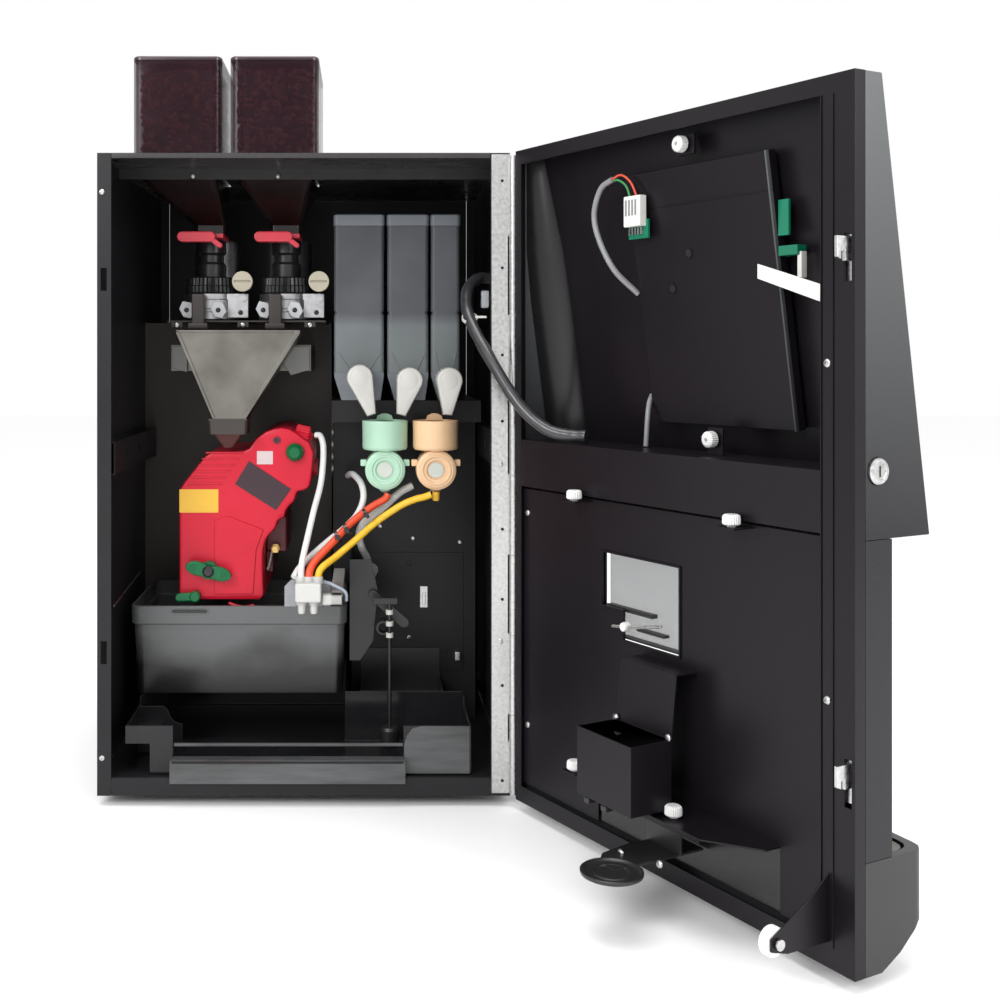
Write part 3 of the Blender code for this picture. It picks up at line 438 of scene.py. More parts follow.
# The control board's leads. A grey PVC cable of 6 mm arches up from the door's shelf, stripped at its
# end to a red and a green core that meet the board's connector, and a short lead leaves the cover.
joints = {joint["name"]: joint for joint in frame["joints"]}
hinge = joints["door_hinge"]
opened = -math.radians(hinge["range_deg"][0])
hinge_foot = Vector((hinge["pos_m"][0], hinge["pos_m"][1], cabinet_origin.z))
in_door = Matrix.Translation(hinge_foot) @ Matrix.Rotation(opened - math.pi, 4, "Z")
LEAD_ROUTE = (
    (0.164, 0.042, 0.565),
    (0.152, 0.02, 0.59),
    (0.1361, 0.013, 0.6224),
    (0.1295, 0.012, 0.6492),
    (0.14, 0.012, 0.674),
    (0.159, 0.012, 0.6822),
)
SHORT_LEAD_ROUTE = (
    (0.164, 0.06, 0.46),
    (0.169, 0.052, 0.452),
    (0.172, 0.047, 0.435),
    (0.172, 0.045, 0.408),
)
RED_CORE_ROUTE = (
    (0.158, 0.012, 0.6822),
    (0.172, 0.0125, 0.685),
    (0.185, 0.014, 0.676),
    (0.193, 0.015, 0.661),
)
GREEN_CORE_ROUTE = (
    (0.158, 0.013, 0.681),
    (0.168, 0.013, 0.68),
    (0.178, 0.014, 0.673),
    (0.183, 0.015, 0.661),
)
lead_grey = silicone("lead_grey", (0.24, 0.24, 0.25))
core_red = silicone("core_red", (0.62, 0.08, 0.04))
core_green = silicone("core_green", (0.04, 0.24, 0.08))
for lead, route, radius, finish, slot in (
    ("board_lead", LEAD_ROUTE, 0.003, lead_grey, "cable_black"),
    ("short_lead", SHORT_LEAD_ROUTE, 0.0026, lead_grey, "cable_black"),
    ("red_core", RED_CORE_ROUTE, 0.0012, core_red, "red_hose"),
    ("green_core", GREEN_CORE_ROUTE, 0.0012, core_green, "green_plastic"),
):
    hose(lead, route, radius, finish, slot, "door", in_door, sides=14)



# The cabinet's sheets. Two walls with folded flanges, floor, roof, back, and the two upright sheets that
# carry the works: laser-cut 1.5 and 2 mm steel, folded and powder coated black, every edge broken.
def flat(mesh, edge, segments=2):
    """Merges a mesh, joins its level faces and breaks its sharp edges by a small radius."""
    bm = bmesh.new()
    bm.from_mesh(mesh)
    bmesh.ops.remove_doubles(bm, verts=bm.verts, dist=1e-6)
    bmesh.ops.dissolve_limit(bm, angle_limit=math.radians(1), verts=bm.verts, edges=bm.edges)
    if edge:
        sharp = [side for side in bm.edges if side.calc_face_angle(0) > math.radians(30)]
        bmesh.ops.bevel(
            bm, geom=sharp, offset=edge, segments=segments, affect="EDGES", clamp_overlap=True, profile=0.5
        )
    bmesh.ops.triangulate(bm, faces=[face for face in bm.faces if len(face.verts) > 4])
    bm.to_mesh(mesh)
    bm.free()
    return mesh


def from_cad(node, edge=0.0006):
    """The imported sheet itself, with its edges broken."""
    return flat(frame["nodes"][node].data.copy(), edge)


STILL = Matrix.Identity(4)


def piece(name, shapes, place, body, slot, *nodes):
    """Joins shapes, each a mesh and its finish, into one piece that rides on its body."""
    whole = bmesh.new()
    finishes = []
    for mesh, finish in shapes:
        if finish not in finishes:
            finishes.append(finish)
        for face in mesh.polygons:
            face.material_index = finishes.index(finish)
        whole.from_mesh(mesh)
    bmesh.ops.transform(whole, matrix=place, verts=whole.verts)
    mesh = bpy.data.meshes.new(name)
    whole.to_mesh(mesh)
    whole.free()
    for finish in finishes:
        mesh.materials.append(finish.material)
    mesh.shade_smooth()
    mesh.set_sharp_from_angle(angle=math.radians(28))
    made = bpy.data.objects.new(name, mesh)
    bpy.context.scene.collection.objects.link(made)
    even = made.modifiers.new("flat_sheets", "WEIGHTED_NORMAL")
    even.keep_sharp = True
    even.weight = 100
    graph = bpy.context.evaluated_depsgraph_get()
    made.data = bpy.data.meshes.new_from_object(made.evaluated_get(graph))
    made.modifiers.remove(even)
    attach(made, body)
    if nodes:
        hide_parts(*nodes)
    return made


def powder_coat(name, colour, roughness):
    """Baked powder paint: fine orange peel, slow changes of gloss, and a little pale dust."""
    made = Finish(name, colour, roughness, specular_ior_level=0.22)
    cloud = made.noise(0.11, 3)
    peel = made.noise(0.0016, 2)
    made.set("Base Color", made.mix(cloud, shade(colour, 0.75), shade(colour, 1.35)))
    made.set("Roughness", roughness - 0.07 + cloud * 0.12 + peel * 0.04)
    made.bump(peel, 0.00012)
    return made


black_coat = powder_coat("black_coat", (0.0135, 0.0125, 0.014), 0.34)
plate_coat = powder_coat("plate_coat", (0.056, 0.05, 0.046), 0.32)
roof_coat = powder_coat("roof_coat", (0.04, 0.038, 0.038), 0.26)
for sheet, node, coat in (
    ("left_wall", "left_side_panel", black_coat),
    ("right_wall", "right_side_panel", black_coat),
    ("floor_plate", "base_plate", black_coat),
    ("roof", "top_panel", roof_coat),
    ("back_sheet", "rear_panel", black_coat),
    ("brewer_bulkhead", "brewer_plate", plate_coat),
    ("mixer_bulkhead", "mixer_panel", black_coat),
):
    piece(sheet, [(from_cad(node), coat)], STILL, "cabinet", "black_steel", node)


# The screws and clips on those sheets. Zinc-plated pan-head screws hold the roof fold, the flange and the
# mixers' sheet, and spring clips of the same finish are pushed onto it.
def turned(profile, axis="Z", centre=(0, 0, 0), sides=32, flutes=0, depth=0.0):
    """A profile of (radius, height) turned round an axis, its rim fluted if asked."""
    bm = bmesh.new()
    rings = []
    hollow = profile[0] == profile[-1]
    for radius, height in profile[: -1 if hollow else None]:
        if radius == 0:
            rings.append([bm.verts.new((0, 0, height))])
            continue
        ring = []
        for step in range(sides):
            angle = math.tau * step / sides
            reach = radius - depth * (0.5 - 0.5 * math.cos(angle * flutes))
            ring.append(bm.verts.new((reach * math.cos(angle), reach * math.sin(angle), height)))
        rings.append(ring)
    for lower, upper in zip(rings, rings[1:] + (rings[:1] if hollow else [])):
        for step in range(sides):
            after = (step + 1) % sides
            if len(lower) == 1:
                bm.faces.new((lower[0], upper[after], upper[step]))
            elif len(upper) == 1:
                bm.faces.new((lower[step], lower[after], upper[0]))
            else:
                bm.faces.new((lower[step], lower[after], upper[after], upper[step]))
    for ring, facing in ((rings[0], -1), (rings[-1], 1)):
        if len(ring) > 1 and not hollow:
            bm.faces.new(ring[::facing])
    bmesh.ops.recalc_face_normals(bm, faces=bm.faces)
    turns = {"X": ("Y", 90), "Y": ("X", -90), "Z": ("Z", 0), "-Y": ("X", 90)}
    about, angle = turns[axis]
    turn = Matrix.Rotation(math.radians(angle), 4, about)
    bmesh.ops.transform(bm, matrix=Matrix.Translation(centre) @ turn, verts=bm.verts)
    mesh = bpy.data.meshes.new("turned")
    bm.to_mesh(mesh)
    bm.free()
    return mesh


def sleeve(inner, outer, low, high):
    """The profile of a short tube with square ends."""
    return ((inner, low), (outer, low), (outer, high), (inner, high), (inner, low))


def rod_profile(radius, low, high):
    """The profile of a plain round rod."""
    return ((0, low), (radius, low), (radius, high), (0, high))


def block(low, high, edge=0.0006, segments=2):
    """A box between two corners with broken edges."""
    bm = bmesh.new()
    bmesh.ops.create_cube(bm, size=1.0)
    bmesh.ops.scale(bm, vec=Vector(high) - Vector(low), verts=bm.verts)
    bmesh.ops.translate(bm, vec=(Vector(high) + Vector(low)) / 2, verts=bm.verts)
    if edge:
        bmesh.ops.bevel(bm, geom=bm.edges[:], offset=edge, segments=segments, affect="EDGES", profile=0.5)
    mesh = bpy.data.meshes.new("block")
    bm.to_mesh(mesh)
    bm.free()
    return mesh


def at_points(places, master, finish, turn=(0, 0, 0), size=1.0):
    """One copy of a small mesh at each place, by a Geometry Nodes tree."""
    points = bpy.data.meshes.new("points")
    points.from_pydata([tuple(place) for place in places], [], [])
    source = bpy.data.objects.new("points", points)
    sample = bpy.data.objects.new("sample", master)
    for made in (source, sample):
        bpy.context.scene.collection.objects.link(made)
    tree = Pattern("copies", finish, Sample=sample, Turn=turn, Size=size)
    shape = tree.node("GeometryNodeObjectInfo", {}, {"Object": tree["Sample"]}, "Geometry")
    sockets = {
        "Points": tree["Geometry"], "Instance": shape, "Rotation": tree["Turn"], "Scale": tree["Size"],
    }
    mesh = tree.run(tree.node("GeometryNodeInstanceOnPoints", {}, sockets), source)
    bpy.data.objects.remove(sample)
    return mesh


PAN_HEAD = ((0.0032, 0), (0.003, 0.001), (0.0022, 0.0017), (0.0012, 0.0019), (0.0009, 0.0006), (0, 0.0006))
zinc = Finish("zinc_plate", (0.72, 0.72, 0.7), 0.3, 1.0)
spangle = zinc.noise(0.004, 4)
zinc.set("Base Color", zinc.mix(spangle, (0.34, 0.34, 0.34), (0.74, 0.74, 0.73)))
zinc.set("Roughness", 0.18 + spangle * 0.26)
zinc.bump(spangle, 0.0001)

FACING_FRONT = (math.radians(90), 0, 0)
cabinet_screws = [
    (-0.1417, 0.1158, 0.7222),
    (-0.0371, 0.1158, 0.7222),
    (-0.2294, 0.0, 0.6874),
    (-0.2294, 0.0, 0.0431),
    (0.0898, 0.2298, 0.2756),
    (0.1335, 0.2298, 0.2597),
    (0.1956, 0.2298, 0.2545),
    (0.1282, 0.2298, 0.1288),
]
pan_head = turned(PAN_HEAD, sides=18)
screws = at_points(cabinet_screws, pan_head, zinc, FACING_FRONT)
clip = block((0.1425, 0.2275, 0.168), (0.153, 0.2298, 0.1965), 0.0008)
clip_tongue = block((0.1455, 0.2262, 0.172), (0.15, 0.228, 0.188), 0.0006)
small_clip = block((0.188, 0.218, 0.1), (0.195, 0.2298, 0.112), 0.001)
fixings = [(mesh, zinc) for mesh in (screws, clip, clip_tongue, small_clip)]
piece("cabinet_fixings", fixings, in_cabinet, "cabinet", "zinc")


# The plates on the mixers' sheet. A lower cover plate with its seam, a black bracket with the float
# switch's ring and lever, and a shallow overflow shelf: folded steel and moulded plastic, screwed on.
def plate(outlines, axis, start, end, edge=0.0004):
    """A flat plate: the first outline less the others, as (y, z), (x, z) or (x, y), edges rounded."""
    turns = {
        "X": Matrix(((0, 0, 1, 0), (1, 0, 0, 0), (0, 1, 0, 0), (0, 0, 0, 1))),
        "Y": Matrix(((1, 0, 0, 0), (0, 0, -1, 0), (0, 1, 0, 0), (0, 0, 0, 1))),
        "Z": Matrix.Identity(4),
    }
    curve = bpy.data.curves.new("plate", "CURVE")
    curve.dimensions = "2D"
    curve.fill_mode = "BOTH"
    curve.extrude = (end - start) / 2 - edge
    curve.bevel_depth = edge
    curve.bevel_resolution = 1
    curve.offset = -edge
    for outline in outlines:
        spline = curve.splines.new("POLY")
        spline.points.add(len(outline) - 1)
        for point, (a, b) in zip(spline.points, outline):
            point.co = (a, b, 0, 1)
        spline.use_cyclic_u = True
    flat_piece = bpy.data.objects.new("plate", curve)
    bpy.context.scene.collection.objects.link(flat_piece)
    graph = bpy.context.evaluated_depsgraph_get()
    mesh = bpy.data.meshes.new_from_object(flat_piece.evaluated_get(graph))
    bpy.data.objects.remove(flat_piece)
    middle = (start + end) / 2
    shift = Matrix.Translation((0, 0, -middle if axis == "Y" else middle))
    mesh.transform(turns[axis] @ shift)
    bm = bmesh.new()
    bm.from_mesh(mesh)
    bmesh.ops.remove_doubles(bm, verts=bm.verts, dist=1e-5)
    bmesh.ops.recalc_face_normals(bm, faces=bm.faces)
    bm.to_mesh(mesh)
    bm.free()
    return mesh


def ring_outline(x, z, radius, steps=20):
    """A round outline."""
    angles = [math.tau * step / steps for step in range(steps)]
    return [(x + radius * math.cos(angle), z + radius * math.sin(angle)) for angle in angles]


def slot_outline(start, end, radius, steps=8):
    """An outline with round ends, from one centre to another."""
    along = math.atan2(end[1] - start[1], end[0] - start[0])
    points = []
    for centre, turn in ((end, -90), (start, 90)):
        for step in range(steps + 1):
            angle = along + math.radians(turn + 180 * step / steps)
            points.append((centre[0] + radius * math.cos(angle), centre[1] + radius * math.sin(angle)))
    return points


def moulded(name, colour, roughness, **fixed):
    """Injection-moulded plastic: a fine spark-eroded grain and faint flow marks."""
    made = Finish(name, colour, roughness, **fixed)
    flow = made.noise(0.035, 3)
    grain = made.noise(0.0009, 2)
    made.set("Base Color", made.mix(flow, shade(colour, 0.86), shade(colour, 1.12)))
    made.set("Roughness", roughness - 0.05 + flow * 0.08 + grain * 0.06)
    made.bump(grain, 0.00006)
    return made


black_moulded = moulded("black_moulded", (0.014, 0.014, 0.015), 0.34)
cover = [(0.07, 0.085), (0.2, 0.085), (0.2, 0.241), (0.07, 0.241)]
holes = [ring_outline(0.1282, 0.2267, 0.0035), ring_outline(0.178, 0.11, 0.003)]
bracket = [(0.051, 0.249), (0.077, 0.249), (0.086, 0.211), (0.08, 0.148), (0.064, 0.124), (0.051, 0.124)]
lever = slot_outline((0.08, 0.206), (0.118, 0.172), 0.006)
shelf_front = block((0.064, 0.156, 0.058), (0.169, 0.159, 0.078), 0.001)
shelf_floor = block((0.064, 0.158, 0.058), (0.169, 0.229, 0.06), 0.0005)
shelf_back = block((0.064, 0.227, 0.059), (0.169, 0.2297, 0.115), 0.0008)
shelf_ends = [block((x, 0.158, 0.059), (x + 0.0025, 0.229, 0.078), 0.0008) for x in (0.064, 0.1665)]
piece(
    "mixer_cover_plate",
    [(plate([cover, *holes], "Y", 0.2286, 0.2298), black_coat)],
    in_cabinet,
    "cabinet",
    "black_steel",
)
switch_ring = turned(((0.0062, 0), (0.01, 0), (0.01, 0.012), (0.0085, 0.014), (0.0062, 0.014), (0.0062, 0)))
switch_ring.transform(
    Matrix.Translation((0.0923, 0.1215, 0.1674)) @ Matrix.Rotation(math.radians(90), 4, "X"),
)
piece(
    "float_switch_bracket",
    [
        (plate([bracket], "Y", 0.123, 0.125), black_moulded),
        (plate([lever], "Y", 0.117, 0.1222), black_moulded),
        (block((0.051, 0.124, 0.124), (0.053, 0.2297, 0.249), 0.0006), black_moulded),
        (switch_ring, black_moulded),
    ],
    in_cabinet,
    "cabinet",
    "black_plastic",
)
shelf = [(mesh, black_moulded) for mesh in (shelf_front, shelf_floor, shelf_back, *shelf_ends)]
piece("overflow_shelf", shelf, in_cabinet, "cabinet", "black_plastic")
wire_path = [in_cabinet @ Vector(point) for point in ((-0.225, 0.045, 0.207), (-0.215, 0.165, 0.227))]
bin_wire = tube_mesh(wire_path, 0.0011, zinc, sides=10)
piece("bin_wire", [(bin_wire, zinc)], STILL, "cabinet", "zinc")


# The feet. Black moulded rubber with a bevelled tread, one under each corner, screwed up into the floor
# plate. They hold the cabinet 12 mm off the counter.
rubber = moulded("foot_rubber", (0.02, 0.02, 0.02), 0.62)
FOOT = (
    (0, 0), (0.0155, 0), (0.0172, 0.0012), (0.018, 0.004), (0.0172, 0.011), (0.015, 0.0125), (0.015, 0.03),
)
for corner in ("front_left", "front_right", "rear_left", "rear_right"):
    low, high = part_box("foot_" + corner)
    centre = ((low.x + high.x) / 2, (low.y + high.y) / 2, 0)
    body = turned((*FOOT, (0, 0.03)), centre=centre)
    piece("foot_" + corner + "_pad", [(body, rubber)], STILL, "cabinet", "black_plastic", "foot_" + corner)


# The piano hinge. Two strips of bright zinc-plated steel rolled round one pin, screwed to the cabinet's
# flange and to the door's edge, with punched holes along the fixed leaf.
LEAF_HEIGHT = 0.73
PIN_RADIUS = 0.0042
hinge_place = in_cabinet.inverted() @ in_door.translation
leaf_holes = [0.0181, 0.1262, 0.2241, 0.3038, 0.4267, 0.5019, 0.6009, 0.6999]
leaf = [
    (0.214, 0.004), (0.2325, 0.004), (0.2325, 0.06), (0.2345, 0.066),
    (0.2345, LEAF_HEIGHT), (0.214, LEAF_HEIGHT),
]
leaf_outlines = [leaf, *[ring_outline(0.2262, z, 0.0017, 14) for z in leaf_holes]]
leaf_screws = at_points([(0.224, -0.0022, z) for z in (0.1763, 0.3778)], pan_head, zinc, FACING_FRONT)
span = (LEAF_HEIGHT + 0.002 - 0.008) / 8
knuckle = turned(
    ((0.0016, 0), (PIN_RADIUS, 0), (PIN_RADIUS, span - 0.0006), (0.0016, span - 0.0006)), sides=20,
)
pin = turned(rod_profile(0.0015, 0.006, 0.726), sides=12)
pin.transform(Matrix.Translation((hinge_place.x, hinge_place.y, 0)))


def knuckles(first, x, y):
    """Every second knuckle from the first, stacked by a pattern."""
    return at_points([(x, y, 0.0043 + span * step) for step in range(first, 8, 2)], knuckle.copy(), zinc)


straps = [
    block((0.232, -0.0022, 0.0043 + span * step), (0.2388, -0.0004, 0.0037 + span * (step + 1)), 0.0003)
    for step in range(0, 8, 2)
]
fixed_leaf = [plate(leaf_outlines, "Y", -0.0022, -0.0003, 0.0003), leaf_screws, pin, *straps]
fixed_leaf.append(knuckles(0, hinge_place.x, hinge_place.y))
shapes = [(mesh, zinc) for mesh in fixed_leaf]
piece("hinge_fixed_leaf", shapes, in_cabinet, "cabinet", "zinc", "cabinet_hinge_leaf")
moving = [block((0.0023, 0.0046, 0.004), (0.0042, 0.022, LEAF_HEIGHT), 0.0003), knuckles(1, 0, 0)]
moving += [
    block((0.0023, -0.0005, 0.0043 + span * step), (0.0042, 0.006, 0.0037 + span * (step + 1)), 0.0003)
    for step in range(1, 8, 2)
]
shapes = [(mesh, zinc) for mesh in moving]
piece("hinge_moving_leaf", shapes, in_door, "door", "zinc", "door_hinge_leaf")


# The bean hoppers. Two boxes blow-moulded in dark tinted polycarbonate, full of roasted beans, whose
# throats pass through the roof and narrow to the grinders. Loose lids rest on them.
def rounded_ring(z, x0, x1, y0, y1, radius, steps=4):
    """A level rectangle with rounded corners."""
    corners = ((x1, y1, 0), (x0, y1, 90), (x0, y0, 180), (x1, y0, 270))
    ring = []
    for x, y, start in corners:
        cx = x - radius if start in (0, 270) else x + radius
        cy = y - radius if start in (0, 90) else y + radius
        for step in range(steps + 1):
            angle = math.radians(start + 90 * step / steps)
            ring.append((cx + radius * math.cos(angle), cy + radius * math.sin(angle), z))
    return ring


def loft(rings, through=False):
    """Rings of equal length joined in order, its ends capped or led into one another."""
    bm = bmesh.new()
    made = [[bm.verts.new(point) for point in ring] for ring in rings]
    pairs = list(zip(made, made[1:]))
    if through:
        pairs.append((made[-1], made[0]))
    for lower, upper in pairs:
        for index in range(len(lower)):
            after = (index + 1) % len(lower)
            bm.faces.new((lower[index], lower[after], upper[after], upper[index]))
    if not through:
        bm.faces.new(made[0][::-1])
        bm.faces.new(made[-1])
    bmesh.ops.recalc_face_normals(bm, faces=bm.faces)
    bmesh.ops.triangulate(bm, faces=[face for face in bm.faces if len(face.verts) > 4])
    mesh = bpy.data.meshes.new("loft")
    bm.to_mesh(mesh)
    bm.free()
    return mesh


def scattered(surface, master, finish, count, seed, size=(0.85, 1.1)):
    """Copies of a small mesh strewn over a surface at random angles."""
    source = bpy.data.objects.new("surface", surface)
    sample = bpy.data.objects.new("sample", master)
    for made in (source, sample):
        bpy.context.scene.collection.objects.link(made)
    tree = Pattern("strewn", finish, Sample=sample, Density=float(count), Low=size[0], High=size[1])
    points = tree.node(
        "GeometryNodeDistributePointsOnFaces", {}, {
            "Mesh": tree["Geometry"], "Density": tree["Density"], "Seed": seed,
        }
    )
    shape = tree.node("GeometryNodeObjectInfo", {}, {"Object": tree["Sample"]}, "Geometry")
    turn = tree.node(
        "FunctionNodeRandomValue", {"data_type": "FLOAT_VECTOR"}, {1: (6.3, 6.3, 6.3), 8: seed},
    )
    grow = tree.node("FunctionNodeRandomValue", {}, {2: tree["Low"], 3: tree["High"], 8: seed + 1}, 1)
    sockets = {"Points": points, "Instance": shape, "Rotation": turn, "Scale": grow}
    mesh = tree.run(tree.node("GeometryNodeInstanceOnPoints", {}, sockets), source)
    bpy.data.objects.remove(sample)
    return mesh


HOPPER_WALL = 0.0025
HOPPERS = {"left": (-0.162, -0.129), "right": (-0.042, -0.032)}
tint = Finish("hopper_tint", (0.04, 0.017, 0.022), 0.1, specular_ior_level=0.16)
scuffs = tint.noise(0.05, 4)
tint.set("Base Color", tint.mix(scuffs, (0.014, 0.004, 0.008), (0.036, 0.012, 0.019)))
tint.set("Roughness", 0.06 + scuffs * 0.1)
tint.set("Alpha", 0.44 + scuffs * 0.12)
throat_smoke = moulded("throat_smoke", (0.012, 0.006, 0.006), 0.16, specular_ior_level=0.45)
lid_tint = Finish("lid_tint", (0.03, 0.014, 0.018), 0.16, ior=1.5)
lid_haze = lid_tint.noise(0.04, 3)
lid_tint.set("Base Color", lid_tint.mix(lid_haze, (0.02, 0.01, 0.013), (0.046, 0.022, 0.028)))
lid_tint.set("Roughness", 0.12 + lid_haze * 0.12)
roast = Finish("roasted_beans", (0.06, 0.024, 0.011), 0.36)
roast_tone = roast.noise(0.01, 2)
roast.set("Base Color", roast.mix(roast_tone, (0.05, 0.013, 0.01), (0.26, 0.08, 0.042)))
roast.set("Roughness", 0.28 + roast_tone * 0.22)
bean = turned(((0, -0.0052), (0.0024, -0.0042), (0.0037, 0), (0.0024, 0.0042), (0, 0.0052)), sides=9)
for vertex in bean.vertices:
    vertex.co.y *= 0.72


def hopper_ring(z, middle, half, front, back, radius, inset=0.0):
    """A level ring of a hopper, from its middle and half width, moved inwards by the inset."""
    return rounded_ring(
        z, middle - half + inset, middle + half - inset, front + inset, back - inset, radius,
    )


for number, (side, (x, throat_x)) in enumerate(HOPPERS.items()):
    levels = [
        (0.6565, throat_x, 0.02, 0.182, 0.218, 0.006),
        (0.668, throat_x, 0.02, 0.182, 0.218, 0.006),
        (0.722, x, 0.048, 0.126, 0.284, 0.01),
        (0.7323, x, 0.048, 0.126, 0.284, 0.01),
        (0.7326, x, 0.052, 0.123, 0.287, 0.01),
        (0.7345, x, 0.055, 0.12, 0.29, 0.01),
        (0.866, x, 0.055, 0.12, 0.29, 0.01),
    ]
    shapes = []
    for group, skin_finish in ((levels[:4], throat_smoke), (levels[4:], tint)):
        outside = [hopper_ring(*level) for level in group]
        inside = [hopper_ring(*level[:-1], level[-1] - 0.002, HOPPER_WALL) for level in reversed(group)]
        shapes.append((loft(outside + inside, through=True), skin_finish))
    piece("hopper_shell_" + side, shapes, in_cabinet, "cabinet", "hopper_tint", "hopper_" + side)
    bed = loft([hopper_ring(z, x, 0.0445, 0.131, 0.2795, 0.008) for z in (0.75, 0.775, 0.81, 0.854)])
    heap = loft([hopper_ring(z, x, 0.044, 0.1315, 0.279, 0.008) for z in (0.737, 0.853)])
    seat = loft([hopper_ring(z, x, 0.0518, 0.1232, 0.2868, 0.008) for z in (0.7352, 0.7364)])
    beans = scattered(bed, bean, roast, 15500, 4 + number)
    piece(
        "beans_" + side, [(beans, roast), (heap, throat_smoke), (seat, throat_smoke)], in_cabinet,
        "cabinet", "hopper_tint",
    )
    low, high = 0.8663, 0.871
    lid = loft([
        hopper_ring(0.8622, x, 0.0518, 0.1232, 0.2868, 0.008),
        hopper_ring(low, x, 0.0518, 0.1232, 0.2868, 0.008),
        hopper_ring(low + 0.0001, x, 0.055, 0.12, 0.29, 0.01),
        hopper_ring(high - 0.0016, x, 0.055, 0.12, 0.29, 0.01),
        hopper_ring(high, x, 0.0536, 0.1214, 0.2886, 0.009),
    ])
    lid_body = "hopper_lid_" + side
    piece(lid_body + "_cover", [(lid, lid_tint)], in_cabinet, lid_body, "hopper_tint", lid_body)


# The shut-off slides. Red moulded slides with round-ended grips and a bent tail, whose flat tongues close
# the hopper throats, so that a full hopper can be taken off.
red_moulded = moulded("red_slide", (0.62, 0.035, 0.06), 0.3)
for side, (_, x) in HOPPERS.items():
    grip = plate(
        [slot_outline((x - 0.031, 0.6508), (x + 0.004, 0.6508), 0.0066)], "Y", 0.148, 0.165, 0.0015,
    )
    tail = plate([slot_outline((x + 0.004, 0.649), (x + 0.016, 0.64), 0.0032)], "Y", 0.15, 0.1615, 0.001)
    tongue = block((x - 0.019, 0.164, 0.6503), (x + 0.019, 0.236, 0.656), 0.0008)
    node = "shutoff_slide_" + side
    shapes = [(mesh, red_moulded) for mesh in (grip, tail, tongue)]
    piece(node + "_grip", shapes, in_cabinet, node, "red_plastic", node)


# The grinders. Cast aluminium bodies with pale bolted ears, a black moulded neck and chute, and a motor
# behind in a rolled steel can. The toothed ring and the slotted knob set how fine they grind.
cast = Finish("cast_aluminium", (0.42, 0.42, 0.43), 0.38, 1.0)
skin = cast.noise(0.006, 4)
sand = cast.noise(0.0011, 2)
cast.set("Base Color", cast.mix(skin, (0.27, 0.27, 0.28), (0.55, 0.55, 0.56)))
cast.set("Roughness", 0.3 + skin * 0.22)
cast.bump(sand, 0.00018)
tooth_black = moulded("tooth_black", (0.012, 0.012, 0.013), 0.24)
chute_brown = moulded("chute_brown", (0.035, 0.027, 0.024), 0.3)
ear_white = moulded("ear_white", (0.55, 0.56, 0.58), 0.34)
beige = moulded("beige_disc", (0.47, 0.43, 0.33), 0.42)
GRINDER_BASE = 0.5458
GRINDER_Y = 0.2
KNOB_OFFSET = 0.0435
EAR_OFFSETS = (-0.027, 0.013)
SHELF_SCREWS = (-0.168, -0.0845, 0.0004)
